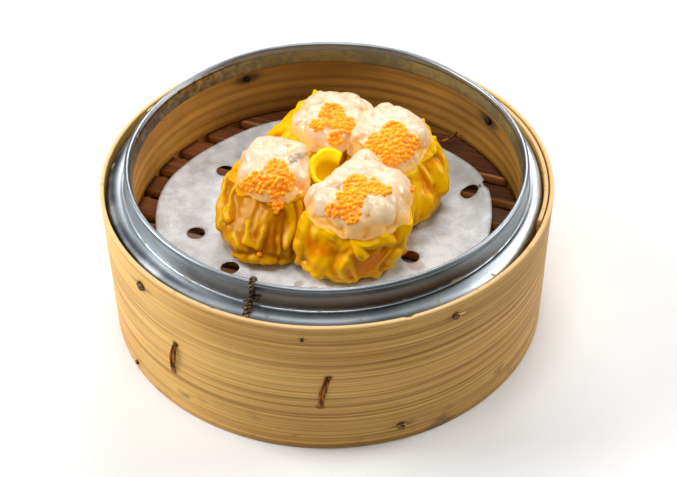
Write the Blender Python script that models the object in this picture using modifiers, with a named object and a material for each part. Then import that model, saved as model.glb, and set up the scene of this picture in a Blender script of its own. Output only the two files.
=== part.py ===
"""Bamboo steamer basket with a metal rim, a paper liner and four open-topped dumplings.

The basket stands on the ground plane with its axis on +Z; lengths are in metres.
X runs to the right and Y away from the eye, so "front" is -Y.
Every piece is a closed solid with its own material, and neighbours keep a small gap.
"""
import math

import bmesh
import bpy
from mathutils import Matrix, Vector, noise
from mathutils.bvhtree import BVHTree

MM = 0.001
GAP = 0.3 * MM

# Hoops of the basket, from the outside in: radii and heights.
OUTER_RADIUS = 80.0 * MM
STRIP = 1.6 * MM
OUTER_HEIGHT = 56.4 * MM
LAP_TOP = 55.9 * MM
LAP_BOTTOM = 0.5 * MM
LAP_START = math.radians(-22.0)
LAP_END = math.radians(150.0)
MIDDLE_OUTER = 76.1 * MM
MIDDLE_INNER = 71.8 * MM
MIDDLE_TOP = 51.9 * MM
SUPPORT_INNER = 69.3 * MM
SUPPORT_OUTER = 71.4 * MM
SUPPORT_BOTTOM = 12.0 * MM
INNER_BOTTOM = 34.4 * MM
INNER_TOP = 58.0 * MM
WALL_FOOT_RADIUS = 70.4 * MM
WALL_TOP_RADIUS = 69.2 * MM
WALL_OUTER = 71.4 * MM
WALL_RIDGES = 4
RIDGE_DEPTH = 0.25 * MM

# Back of the inner hoop above the middle hoop, where it thins towards its top edge.
WALL_BACK = ((70.1, 58.0), (70.3, 56.2), (71.1, 54.7), (71.4, 53.0))

# Pressed metal rim, as radii and heights in mm: the middle of its rolled bead, its
# outside from the bead down to the brim, and its inside from the brim up and down again.
RIM_BEAD = (69.85, 62.95)
RIM_BEAD_RADIUS = 1.05
RIM_OUTSIDE = ((70.4, 60.8), (71.5, 56.3), (73.0, 56.0), (74.8, 55.0), (75.8, 52.5))
RIM_INSIDE = ((75.3, 52.5), (74.2, 54.6), (71.1, 55.6), (69.5, 60.6), (68.8, 57.0),
              (68.2, 57.0))

# Slats of the floor: they run at one angle across the basket.
SLAT_BEVEL = 0.6 * MM
SLAT_TOP = 34.0 * MM
SLAT_THICKNESS = 4.0 * MM
SLAT_ANGLE = math.radians(-21.5)
SLAT_WIDTH = 8.5 * MM
SLAT_PITCH = 12.9 * MM
SLAT_FIRST = -45.3 * MM
SLAT_COUNT = 7
EDGE_SLATS = ((-66.5 * MM, -50.0 * MM), (45.0 * MM, 65.0 * MM))
SLAT_REACH = 71.2 * MM

# Round paper on the slats, with steam holes.
PAPER_THICKNESS = 0.3 * MM
PAPER_BOTTOM = SLAT_TOP + GAP
PAPER_TOP = PAPER_BOTTOM + PAPER_THICKNESS
PAPER_RADIUS = 61.2 * MM
PAPER_FLAT = 0.85
PAPER_HOLES = ((-38.8, 28.6), (-47.5, -7.8), (52.7, 12.4), (28.8, -22.4), (-34.4, -26.7))
HOLE_RADIUS = 3.3 * MM

# Dumplings.
FOOD_FLOOR = PAPER_TOP + GAP
WRAPPER = 1.0 * MM
FOOT_TUCK = 0.11
PLEAT_FOOT = 0.8 * MM
PLEAT_GROWTH = 1.9 * MM
LIP_FRILL = 0.6 * MM
MOUND_LUMP = 1.2 * MM
MOUND_OVERHANG = 1.5 * MM
FOOD_SIDES = 36
ROE_BED = 0.7 * MM
BEAD_RADIUS = 0.75 * MM
BEADS = 16

# Loose flap of dough in the middle: where its round stands, its size and its sweep.
CURL_CENTRE = Vector((0.6, 7.4, 0.0)) * MM
CURL_RADIUS = 5.6 * MM
CURL_FLARE = 0.8 * MM
CURL_WALL = 1.2 * MM
CURL_BOTTOM = 42.0 * MM
CURL_TOP = 54.2 * MM
CURL_FALL = 3.2 * MM
CURL_START = math.radians(75.0)
CURL_SWEEP = math.radians(165.0)


class Dumpling:
    """Sizes of one dumpling: its foot, its mouth, and what presses on it."""

    def __init__(self, name, foot, foot_radius, mouth, mouth_size, lip, top, roe,
                 roe_share, pleats, phase, lobes):
        self.name = name
        self.foot = Vector(foot) * MM
        self.foot_radius = foot_radius * MM
        self.mouth = Vector(mouth) * MM
        self.mouth_width = mouth_size[0] * MM
        self.mouth_depth = mouth_size[1] * MM
        self.lip = lip * MM
        self.top = top * MM
        self.roe = Vector(roe) * MM
        self.roe_share = roe_share
        self.pleats = pleats
        self.phase = phase
        self.lobes = [(math.radians(a), reach * MM, rise * MM, width)
                      for a, reach, rise, width in lobes]
        self.presses = []


# Lobes are flaps of the wrapper: direction in degrees, reach and rise in mm, width.
DUMPLINGS = (
    Dumpling("front", (7.0, -17.9), 19.2, (10.3, -14.0), (18.0, 19.8), 54.2, 63.8,
             (9.0, -17.4), 0.60, 12, 0.4,
             ((-35.0, 2.4, -1.5, 0.25), (-78.0, 1.6, -2.5, 0.3), (2.0, 1.5, 1.0, 0.2),
              (203.0, 2.0, 0.5, 0.25))),
    Dumpling("left", (-19.8, -10.2), 16.6, (-18.2, 0.0), (14.0, 16.6), 54.0, 63.4,
             (-19.0, -3.5), 0.66, 11, 1.3,
             ((176.0, 5.0, -2.5, 0.24), (148.0, 4.0, -1.0, 0.2), (212.0, 2.5, -2.0, 0.25),
              (262.0, 1.6, -1.0, 0.3))),
    Dumpling("back", (-3.0, 31.6), 17.8, (1.8, 29.2), (15.0, 15.4), 55.2, 63.4,
             (3.0, 27.6), 0.62, 12, 2.1,
             ((168.0, 5.5, -1.5, 0.28), (136.0, 3.5, 0.5, 0.2), (112.0, 2.0, 4.5, 0.14),
              (205.0, 2.0, -1.0, 0.25))),
    Dumpling("right", (24.6, 8.6), 16.8, (24.2, 17.0), (15.0, 16.8), 54.4, 63.8,
             (23.4, 15.4), 0.68, 11, 0.9,
             ((6.0, 2.2, 1.5, 0.22), (-24.0, 2.0, -1.5, 0.22), (-62.0, 1.6, -2.0, 0.3),
              (38.0, 1.6, 1.0, 0.2))),
)

# Flat faces where two dumplings press on each other: first, second, a point between
# them, and the direction in degrees in which the second one lies. The last face keeps
# the left dumpling off the loose flap in the middle.
PRESSES = (
    ("front", "left", (-7.4, -19.0), 142.0),
    ("front", "right", (22.0, -2.5), 42.0),
    ("back", "right", (12.2, 24.6), -30.5),
    ("left", "back", (-14.6, 13.6), 62.0),
    ("left", None, (-6.1, 6.0), 0.0),
)

# Bamboo pins: direction in degrees, height and width in mm, outside and inside.
OUTER_PINS = ((-140.5, 48.9, 4.6), (-59.7, 50.5, 4.2), (-72.9, 7.1, 3.6), (-148.7, 3.6, 2.6),
              (-96.2, 51.3, 2.2))
INNER_PINS = ((116.3, 54.0, 3.0), (28.6, 53.0, 3.4))
PIN_PROUD = 0.7 * MM

# Rattan stitches outside: direction and height of the upper and of the lower end.
STITCHES = ((-129.6, 32.5, -131.5, 17.8), (-90.4, 34.4, -92.4, 20.7))
STITCH_RADIUS = 0.65 * MM
STITCH_BOW = 0.15 * MM

# Ties: the wire over the rim as radii and heights in mm, and the rattan on the floor
# as directions in radians from its own direction, then radii and heights in mm.
WIRE_ANGLE = math.radians(-110.0)
WIRE_RADIUS = 0.9 * MM
WIRE_ROUTE = ((67.0, 58.5), (66.9, 61.5), (67.6, 64.0), (69.6, 65.35), (71.6, 64.6),
              (72.2, 62.9), (71.8, 60.0), (72.5, 57.6), (74.4, 57.2), (76.2, 55.9))
TIE_ANGLE = math.radians(42.4)
TIE_RADIUS = 0.8 * MM
TIE_ROUTE = ((0.0, 69.0, 38.0), (0.0, 67.6, 37.6), (0.015, 65.0, 36.2), (0.04, 63.4, 35.3))

BAMBOO = (0.62, 0.41, 0.16, 1.0)
BAMBOO_DARK = (0.33, 0.18, 0.06, 1.0)
SLAT_BROWN = (0.19, 0.08, 0.03, 1.0)
STEEL = (0.55, 0.55, 0.52, 1.0)
RUST = (0.20, 0.12, 0.07, 1.0)
RATTAN = (0.25, 0.11, 0.04, 1.0)
PAPER = (0.72, 0.70, 0.66, 1.0)
DOUGH = (0.85, 0.46, 0.01, 1.0)
MEAT = (0.84, 0.66, 0.54, 1.0)
ROE = (1.0, 0.26, 0.01, 1.0)


def clear_scene():
    for item in list(bpy.data.objects):
        bpy.data.objects.remove(item, do_unlink=True)


def new_collection(name):
    collection = bpy.data.collections.new(name)
    bpy.context.scene.collection.children.link(collection)
    return collection


def new_material(name, color, roughness, metallic=0.0):
    material = bpy.data.materials.new(name)
    material.use_nodes = True
    shader = material.node_tree.nodes["Principled BSDF"]
    shader.inputs["Base Color"].default_value = color
    shader.inputs["Roughness"].default_value = roughness
    shader.inputs["Metallic"].default_value = metallic
    return material


def new_object(name, data, material, collection):
    item = bpy.data.objects.new(name, data)
    if material:
        data.materials.append(material)
    collection.objects.link(item)
    return item


def mesh_object(name, mesh_edit, material, collection, smooth=True):
    mesh = bpy.data.meshes.new(name)
    mesh_edit.to_mesh(mesh)
    mesh_edit.free()
    if smooth and mesh.polygons:
        mesh.shade_smooth()
        mesh.set_sharp_from_angle(angle=math.radians(40.0))
    return new_object(name, mesh, material, collection)


def polar(angle, radius, height=0.0):
    return Vector((radius * math.cos(angle), radius * math.sin(angle), height))


def smooth_step(low, high, value):
    share = min(max((value - low) / (high - low), 0.0), 1.0)
    return share * share * (3.0 - 2.0 * share)


def turned(name, profile, steps, material, collection):
    """A closed section of (radius, height) points, outer side first and downwards."""
    section = bmesh.new()
    corners = [section.verts.new((radius, 0.0, height)) for radius, height in profile]
    for first, second in zip(corners, corners[1:] + corners[:1]):
        section.edges.new((first, second))
    item = mesh_object(name, section, material, collection)
    screw = item.modifiers.new("turn", "SCREW")
    screw.steps = steps
    screw.render_steps = steps
    screw.use_merge_vertices = True
    screw.merge_threshold = 0.00001
    screw.use_smooth_shade = True
    return item


def hoop(name, inner, outer, bottom, top, steps, material, collection):
    profile = ((outer, top), (outer, bottom), (inner, bottom), (inner, top))
    return turned(name, profile, steps, material, collection)


def inner_wall_profile():
    """The inner hoop: a plain back, a thin top edge, and low ridges on the inside."""
    profile = [(radius * MM, height * MM) for radius, height in WALL_BACK]
    profile.append((WALL_OUTER, INNER_BOTTOM))
    points = 2 * WALL_RIDGES
    for index in range(points + 1):
        share = index / points
        radius = WALL_FOOT_RADIUS + (WALL_TOP_RADIUS - WALL_FOOT_RADIUS) * share
        groove = RIDGE_DEPTH if index % 2 else 0.0
        height = INNER_BOTTOM + (INNER_TOP - INNER_BOTTOM) * share
        profile.append((radius - groove, height))
    return profile


def metal_profile():
    """Pressed sheet: inner lining, rolled bead, collar, and a rounded shoulder."""
    bead = []
    for degrees in (150.0, 90.0, 30.0, -30.0):
        angle = math.radians(degrees)
        bead.append((RIM_BEAD[0] + RIM_BEAD_RADIUS * math.cos(angle),
                     RIM_BEAD[1] + RIM_BEAD_RADIUS * math.sin(angle)))
    outline = bead + list(RIM_OUTSIDE) + list(RIM_INSIDE)
    return [(radius * MM, height * MM) for radius, height in outline]


def lap_strip(material, collection):
    """The inner end of the wound strip, as an upright band over part of the round."""
    steps = 22
    outer = OUTER_RADIUS - STRIP - GAP
    inner = outer - STRIP
    angles = [LAP_START + (LAP_END - LAP_START) * step / steps for step in range(steps + 1)]
    outline = [polar(angle, outer) for angle in angles]
    outline += [polar(angle, inner) for angle in reversed(angles)]
    curve = bpy.data.curves.new("outer_lap", "CURVE")
    curve.dimensions = "2D"
    curve.fill_mode = "BOTH"
    curve.extrude = (LAP_TOP - LAP_BOTTOM) / 2.0
    spline = curve.splines.new("POLY")
    spline.points.add(len(outline) - 1)
    for point, place in zip(spline.points, outline):
        point.co = (place.x, place.y, 0.0, 1.0)
    spline.use_cyclic_u = True
    item = new_object("outer_lap", curve, material, collection)
    item.location.z = (LAP_TOP + LAP_BOTTOM) / 2.0
    return item


def slats(material, collection, cutters):
    """Parallel slats, bevelled and cut to the round of the basket."""
    shape = bmesh.new()
    bmesh.ops.create_cone(shape, cap_ends=True, segments=64, radius1=SLAT_REACH,
                          radius2=SLAT_REACH, depth=0.05)
    round_cutter = mesh_object("slat_round", shape, None, cutters)
    round_cutter.location.z = SLAT_TOP
    round_cutter.hide_render = True
    round_cutter.display_type = "WIRE"
    bands = [EDGE_SLATS[0]]
    for index in range(SLAT_COUNT):
        low = SLAT_FIRST + SLAT_PITCH * index
        bands.append((low, low + SLAT_WIDTH))
    bands.append(EDGE_SLATS[1])
    for index, (low, high) in enumerate(bands):
        board = bmesh.new()
        bmesh.ops.create_cube(board, size=1.0)
        length = 2.0 * SLAT_REACH + 0.01
        bmesh.ops.scale(board, vec=(length, high - low, SLAT_THICKNESS), verts=board.verts)
        edges = [edge for edge in board.edges
                 if abs(edge.verts[0].co.x - edge.verts[1].co.x) > length / 2.0]
        bmesh.ops.bevel(board, geom=edges, offset=SLAT_BEVEL, segments=1, profile=0.5,
                        affect="EDGES", material=-1)
        place = Matrix.Rotation(SLAT_ANGLE, 4, "Z")
        place = place @ Matrix.Translation((0.0, (low + high) / 2.0,
                                            SLAT_TOP - SLAT_THICKNESS / 2.0))
        bmesh.ops.transform(board, matrix=place, verts=board.verts)
        item = mesh_object(f"slat_{index + 1:02d}", board, material, collection)
        cut = item.modifiers.new("round_ends", "BOOLEAN")
        cut.operation = "INTERSECT"
        cut.object = round_cutter


def paper_edge(angle):
    """Radius of the paper's edge in one direction."""
    turn = 1.9 * math.cos(angle - math.radians(150.0))
    wave = 0.7 * math.cos(5.0 * angle - math.radians(70.0))
    return PAPER_RADIUS + (turn + wave) * MM


def paper_lift(x, y):
    """How far the paper stands off the slats: flat under the food, wavy outside."""
    angle = math.atan2(y, x)
    share = smooth_step(PAPER_FLAT, 1.0, math.hypot(x, y) / paper_edge(angle))
    wave = 0.5 + 0.35 * math.sin(7.0 * angle) + 0.3 * math.sin(4.0 * angle + 1.0)
    curl = 2.6 * math.exp(-((angle - 0.25) / 0.40) ** 2)
    return share * (max(wave, 0.0) + curl) * MM


def paper_liner(material, collection, cutters):
    sheet = bmesh.new()
    sides = 40
    rings = (PAPER_FLAT, (1.0 + PAPER_FLAT) / 2.0, 1.0)
    middle = sheet.verts.new((0.0, 0.0, PAPER_TOP))
    rows = []
    for share in rings:
        row = []
        for side in range(sides):
            angle = 2.0 * math.pi * side / sides
            place = polar(angle, share * paper_edge(angle))
            place.z = PAPER_TOP + paper_lift(place.x, place.y)
            row.append(sheet.verts.new(place))
        rows.append(row)
    for side in range(sides):
        after = (side + 1) % sides
        sheet.faces.new((middle, rows[0][side], rows[0][after]))
        for low, high in zip(rows, rows[1:]):
            sheet.faces.new((low[side], high[side], high[after]))
            sheet.faces.new((low[side], high[after], low[after]))
    item = mesh_object("paper_liner", sheet, material, collection, smooth=False)
    thick = item.modifiers.new("thickness", "SOLIDIFY")
    thick.thickness = PAPER_THICKNESS
    thick.offset = -1.0
    for index, (x, y) in enumerate(PAPER_HOLES):
        punch = bmesh.new()
        bmesh.ops.create_cone(punch, cap_ends=True, segments=12, radius1=HOLE_RADIUS,
                              radius2=HOLE_RADIUS, depth=0.02)
        cutter = mesh_object(f"steam_hole_{index + 1}", punch, None, cutters)
        cutter.location = (x * MM, y * MM, PAPER_TOP)
        cutter.hide_render = True
        cutter.display_type = "WIRE"
        cut = item.modifiers.new("steam_hole", "BOOLEAN")
        cut.object = cutter
    return item


def press_limit(dumpling, centre, angle):
    """Furthest a dumpling may reach from a centre before it meets a neighbour."""
    direction = Vector((math.cos(angle), math.sin(angle)))
    limit = 1.0
    for point, normal in dumpling.presses:
        facing = direction.dot(normal)
        if facing > 0.01:
            limit = min(limit, ((point - centre).dot(normal) - GAP / 2.0) / facing)
    return limit


def centre_at(dumpling, share):
    return dumpling.foot.lerp(dumpling.mouth, smooth_step(0.35, 1.0, share))


def wall_radius(dumpling, angle, share):
    """Radius of the unpleated wall at a height share, from 0 at the foot to 1 at the lip."""
    wide = dumpling.mouth_width
    deep = dumpling.mouth_depth
    mouth_radius = wide * deep / math.hypot(deep * math.cos(angle), wide * math.sin(angle))
    radius = dumpling.foot_radius
    radius += (mouth_radius - radius) * smooth_step(0.40, 1.0, share)
    if share < 0.25:
        radius *= 1.0 - FOOT_TUCK * (1.0 - share / 0.25) ** 2
    radius *= 1.0 + 0.02 * math.sin(2.0 * angle + dumpling.phase)
    return radius


def pleat_depth(dumpling, angle, share):
    warped = angle + 0.12 * math.sin(2.0 * angle + dumpling.phase)
    fold = math.sin(0.5 * dumpling.pleats * warped + dumpling.phase + 0.5 * share)
    depth = PLEAT_FOOT + PLEAT_GROWTH * smooth_step(0.05, 0.5, share)
    return depth * abs(fold)


def lobe_sum(dumpling, angle, which):
    total = 0.0
    for direction, reach, rise, width in dumpling.lobes:
        off = math.remainder(angle - direction, 2.0 * math.pi)
        total += (reach, rise)[which] * math.exp(-(off / width) ** 2)
    return total


def lip_height(dumpling, angle):
    frill = LIP_FRILL * math.sin(dumpling.pleats * angle + dumpling.phase)
    return dumpling.lip + frill + lobe_sum(dumpling, angle, 1)


def outer_point(dumpling, angle, share):
    centre = centre_at(dumpling, share)
    radius = wall_radius(dumpling, angle, share) + pleat_depth(dumpling, angle, share)
    radius += lobe_sum(dumpling, angle, 0) * smooth_step(0.3, 0.85, share)
    radius = min(radius, press_limit(dumpling, centre, angle))
    height = FOOD_FLOOR + (lip_height(dumpling, angle) - FOOD_FLOOR) * share
    place = polar(angle, radius, height)
    return place + centre.to_3d()


def inner_radius(dumpling, angle, share):
    centre = centre_at(dumpling, share)
    radius = min(wall_radius(dumpling, angle, share), press_limit(dumpling, centre, angle))
    return radius - WRAPPER


def inner_point(dumpling, angle, share, inset=0.0, lift=0.0):
    centre = centre_at(dumpling, share)
    radius = inner_radius(dumpling, angle, share) - inset
    height = FOOD_FLOOR + (lip_height(dumpling, angle) - FOOD_FLOOR) * share + lift
    return polar(angle, radius, height) + centre.to_3d()


def lofted(rows, first_tip, last_tip, leaning=1):
    """A closed solid through rings of points, closed by a tip at each end.

    The quads between two rings are split on one diagonal, or with leaning -1 on the
    other, so that a solid nested in another one follows the same facets.
    """
    solid = bmesh.new()
    rings = [[solid.verts.new(place) for place in row] for row in rows]
    start = solid.verts.new(first_tip)
    end = solid.verts.new(last_tip)
    count = len(rings[0])
    for index in range(count):
        after = (index + 1) % count
        solid.faces.new((start, rings[0][after], rings[0][index]))
        for low, high in zip(rings, rings[1:]):
            tip, far = (high[after], low[index]) if leaning > 0 else (high[index], low[after])
            solid.faces.new((low[index], low[after], tip))
            solid.faces.new((far, high[after], high[index]))
        solid.faces.new((end, rings[-1][index], rings[-1][after]))
    return solid


def food_angles():
    return [2.0 * math.pi * side / FOOD_SIDES for side in range(FOOD_SIDES)]


def wrapper(dumpling, material, collection):
    """A pleated cup: outside from the foot up, over the lip, and down the inside."""
    rows = [[outer_point(dumpling, angle, share) for angle in food_angles()]
            for share in (0.0, 0.12, 0.38, 0.66, 0.86, 1.0)]
    rows += [[inner_point(dumpling, angle, share) for angle in food_angles()]
             for share in (0.98, 0.55, 0.10)]
    centre = dumpling.foot.to_3d()
    under = centre + Vector((0.0, 0.0, FOOD_FLOOR))
    floor = rows[-1][0].z
    inside = centre + Vector((0.0, 0.0, floor))
    return mesh_object("wrapper_" + dumpling.name, lofted(rows, under, inside), material,
                       collection)


def filling_rows(dumpling):
    """Rings of the filling: inside the cup, over its lip, and up the lumpy mound."""
    rows = [[inner_point(dumpling, angle, share, inset=0.4 * MM, lift=lift)
             for angle in food_angles()]
            for share, lift in ((0.10, 0.4 * MM), (0.55, 0.0), (0.98, 0.0))]
    mouth = dumpling.mouth
    apex = dumpling.roe
    for share, rise in ((1.0, 0.30), (0.86, 0.72), (dumpling.roe_share, 0.93)):
        row = []
        for angle in food_angles():
            centre = mouth.lerp(apex, 1.0 - share)
            swell = 0.3 * MM if share == 1.0 else 0.0
            radius = (inner_radius(dumpling, angle, 1.0) + swell) * share
            spot = polar(angle, radius) + centre.to_3d()
            lump = noise.noise(spot * 180.0 + Vector((dumpling.phase, 0.0, 0.0)))
            low = lip_height(dumpling, angle) + 0.45 * MM
            height = low + (dumpling.top - low) * rise + lump * MOUND_LUMP * rise
            if share == 1.0:
                limit = press_limit(dumpling, centre, angle) - GAP
                radius = min(radius + max(lump, 0.0) * MOUND_OVERHANG, limit)
                spot = polar(angle, radius) + centre.to_3d()
            row.append(Vector((spot.x, spot.y, height)))
        rows.append(row)
    return rows


def filling(dumpling, material, collection):
    rows = filling_rows(dumpling)
    centre = dumpling.foot.to_3d()
    under = centre + Vector((0.0, 0.0, rows[0][0].z))
    peak = Vector((dumpling.roe.x, dumpling.roe.y, dumpling.top))
    return mesh_object("filling_" + dumpling.name, lofted(rows, under, peak, -1), material,
                       collection)


def bead_places(dumpling, surface):
    """Bead centres on a sunflower spiral over the roe, one bead radius apart or more."""
    places = []
    turn = math.pi * (3.0 - math.sqrt(5.0))
    for index in range(BEADS):
        share = math.sqrt((index + 0.5) / BEADS) * dumpling.roe_share * 0.92
        angle = index * turn
        centre = dumpling.mouth.lerp(dumpling.roe, 1.0 - share)
        reach = inner_radius(dumpling, angle, 1.0) * share
        spot = centre.to_3d() + polar(angle, reach, 0.1)
        hit = surface.ray_cast(spot, Vector((0.0, 0.0, -1.0)))[0]
        places.append(hit + Vector((0.0, 0.0, 0.3 * MM)))
    return places


def roe(dumpling, material, collection):
    """A thin bed of roe that follows the filling's top, with beads fused on it."""
    rim = filling_rows(dumpling)[-1]
    peak = Vector((dumpling.roe.x, dumpling.roe.y, dumpling.top))
    low = GAP
    high = GAP + ROE_BED
    bed_rows = [[place + Vector((0.0, 0.0, rise)) for place in rim] for rise in (low, high)]
    bed = lofted(bed_rows, peak + Vector((0.0, 0.0, low)), peak + Vector((0.0, 0.0, high)))
    surface = BVHTree.FromBMesh(bed)
    item = mesh_object("roe_" + dumpling.name, bed, material, collection)
    beads = bpy.data.collections.new("beads_" + dumpling.name)
    bpy.context.scene.collection.children.link(beads)
    for place in bead_places(dumpling, surface):
        bead = bmesh.new()
        bmesh.ops.create_icosphere(bead, subdivisions=1, radius=BEAD_RADIUS,
                                   matrix=Matrix.Translation(place))
        mesh_object("bead", bead, None, beads)
    fuse = item.modifiers.new("fuse_beads", "BOOLEAN")
    fuse.operation = "UNION"
    fuse.operand_type = "COLLECTION"
    fuse.collection = beads
    fuse.solver = "MANIFOLD"
    apply_modifiers(item)
    for bead in list(beads.objects):
        bpy.data.objects.remove(bead, do_unlink=True)
    bpy.data.collections.remove(beads)
    return item


def apply_modifiers(item):
    graph = bpy.context.evaluated_depsgraph_get()
    mesh = bpy.data.meshes.new_from_object(item.evaluated_get(graph))
    item.modifiers.clear()
    item.data = mesh


def wrapper_curl(dumpling_object, collection):
    """A loose flap of the back wrapper that stands up as a small trough."""
    steps = 9
    rim = CURL_RADIUS + CURL_FLARE
    flap = bmesh.new()
    rows = []
    for step in range(steps + 1):
        share = step / steps
        angle = CURL_START + CURL_SWEEP * share
        top = CURL_TOP - CURL_FALL * share
        section = []
        for reach, height in ((CURL_RADIUS, CURL_BOTTOM), (rim, top), (rim - CURL_WALL, top),
                              (CURL_RADIUS - CURL_WALL, CURL_BOTTOM)):
            section.append(flap.verts.new(CURL_CENTRE + polar(angle, reach, height)))
        rows.append(section)
    for first, second in zip(rows, rows[1:]):
        for index in range(4):
            after = (index + 1) % 4
            flap.faces.new((first[index], second[index], second[after], first[after]))
    flap.faces.new(rows[0])
    flap.faces.new(reversed(rows[-1]))
    bmesh.ops.recalc_face_normals(flap, faces=flap.faces)
    item = mesh_object("curl", flap, None, collection)
    join = dumpling_object.modifiers.new("curl", "BOOLEAN")
    join.operation = "UNION"
    join.object = item
    apply_modifiers(dumpling_object)
    bpy.data.objects.remove(item, do_unlink=True)


def pin(name, angle, radius, height, width, outwards, material, collection):
    """A low round pin on a wall, its axis square to the wall."""
    peg = bmesh.new()
    bmesh.ops.create_cone(peg, cap_ends=True, segments=10, radius1=width / 2.0,
                          radius2=width * 0.42, depth=PIN_PROUD)
    tilt = math.pi / 2.0 if outwards else -math.pi / 2.0
    direction = 1.0 if outwards else -1.0
    sagitta = width * width / (8.0 * radius)
    reach = radius + direction * (GAP + PIN_PROUD / 2.0) + (sagitta if outwards else -sagitta)
    place = Matrix.Translation(polar(angle, reach, height))
    place = place @ Matrix.Rotation(angle, 4, "Z") @ Matrix.Rotation(tilt, 4, "Y")
    bmesh.ops.transform(peg, matrix=place, verts=peg.verts)
    return mesh_object(name, peg, material, collection)


def rod(name, points, radius, material, collection, resolution=2):
    """A round rod along straight stretches between points, with filled ends."""
    curve = bpy.data.curves.new(name, "CURVE")
    curve.dimensions = "3D"
    curve.bevel_depth = radius
    curve.bevel_resolution = resolution
    curve.use_fill_caps = True
    spline = curve.splines.new("POLY")
    spline.points.add(len(points) - 1)
    for point, place in zip(spline.points, points):
        point.co = (place.x, place.y, place.z, 1.0)
    return new_object(name, curve, material, collection)


def stitch(name, upper_angle, upper, lower_angle, lower, material, collection):
    """A strand of rattan down the outside, its ends bent towards their holes."""
    steps = 6
    points = []
    for step in range(steps + 1):
        share = step / steps
        angle = math.radians(upper_angle + (lower_angle - upper_angle) * share)
        height = (upper + (lower - upper) * share) * MM
        proud = GAP + STITCH_RADIUS + STITCH_BOW * math.sin(math.pi * share)
        points.append(polar(angle, OUTER_RADIUS + proud, height))
    return rod(name, points, STITCH_RADIUS, material, collection, 1)


def wire_tie(material, collection):
    """A twist of wire over the metal rim, lying 0.3 mm off it."""
    points = [polar(WIRE_ANGLE, radius * MM, height * MM) for radius, height in WIRE_ROUTE]
    return rod("wire_tie", points, WIRE_RADIUS, material, collection)


def inner_tie(material, collection):
    """A short piece of rattan from the inner wall down onto the wide slat."""
    points = [polar(TIE_ANGLE + turn, radius * MM, height * MM)
              for turn, radius, height in TIE_ROUTE]
    return rod("inner_tie", points, TIE_RADIUS, material, collection)


def set_presses():
    by_name = {dumpling.name: dumpling for dumpling in DUMPLINGS}
    for first, second, point, degrees in PRESSES:
        angle = math.radians(degrees)
        normal = Vector((math.cos(angle), math.sin(angle)))
        place = Vector(point) * MM
        by_name[first].presses.append((place, normal))
        if second:
            by_name[second].presses.append((place, -normal))


def build_basket(collection, cutters):
    bamboo = new_material("bamboo", BAMBOO, 0.55)
    dark = new_material("bamboo_dark", BAMBOO_DARK, 0.6)
    brown = new_material("slat_brown", SLAT_BROWN, 0.6)
    steel = new_material("steel", STEEL, 0.25, 1.0)
    rattan = new_material("rattan", RATTAN, 0.6)
    hoop("outer_wrap", OUTER_RADIUS - STRIP, OUTER_RADIUS, 0.0, OUTER_HEIGHT, 64, bamboo,
         collection)
    lap_strip(bamboo, collection)
    hoop("middle_hoop", MIDDLE_INNER, MIDDLE_OUTER, 0.0, MIDDLE_TOP, 48, dark, collection)
    support_top = SLAT_TOP - SLAT_THICKNESS - GAP
    hoop("support_hoop", SUPPORT_INNER, SUPPORT_OUTER, SUPPORT_BOTTOM, support_top, 48, dark,
         collection)
    turned("inner_hoop", inner_wall_profile(), 48, bamboo, collection)
    turned("metal_ring", metal_profile(), 64, steel, collection)
    slats(brown, collection, cutters)
    for index, (degrees, height, width) in enumerate(OUTER_PINS):
        pin(f"outer_pin_{index + 1}", math.radians(degrees), OUTER_RADIUS, height * MM,
            width * MM, True, dark, collection)
    for index, (degrees, height, width) in enumerate(INNER_PINS):
        share = (height * MM - INNER_BOTTOM) / (INNER_TOP - INNER_BOTTOM)
        wall = WALL_FOOT_RADIUS + (WALL_TOP_RADIUS - WALL_FOOT_RADIUS) * share - RIDGE_DEPTH
        pin(f"inner_pin_{index + 1}", math.radians(degrees), wall, height * MM, width * MM,
            False, dark, collection)
    for index, (upper_angle, upper, lower_angle, lower) in enumerate(STITCHES):
        for half, turn in enumerate((0.0, 180.0)):
            stitch(f"stitch_{2 * index + half + 1}", upper_angle + turn, upper,
                   lower_angle + turn, lower, rattan, collection)
    wire_tie(new_material("rusty_wire", RUST, 0.5, 0.6), collection)
    inner_tie(rattan, collection)


def build_food(collection, cutters):
    paper = new_material("paper", PAPER, 0.5)
    dough = new_material("dough", DOUGH, 0.3)
    meat = new_material("meat", MEAT, 0.35)
    orange = new_material("roe", ROE, 0.25)
    paper_liner(paper, collection, cutters)
    set_presses()
    for dumpling in DUMPLINGS:
        cup = wrapper(dumpling, dough, collection)
        filling(dumpling, meat, collection)
        roe(dumpling, orange, collection)
        if dumpling.name == "back":
            wrapper_curl(cup, collection)


def main():
    clear_scene()
    collection = new_collection("dumpling_basket")
    cutters = new_collection("cutters")
    build_basket(collection, cutters)
    build_food(collection, cutters)


main()
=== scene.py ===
"""Looks of a round bamboo steamer with a metal rim, a paper liner and four dumplings.

Laid out as an add-on and run as a script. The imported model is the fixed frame: pieces
stand where its nodes stand, in metres, with the basket's axis on +Z.
"""
import math
import random

import bmesh
import bpy
import numpy
from mathutils import Matrix, Vector, noise
from mathutils.bvhtree import BVHTree


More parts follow.
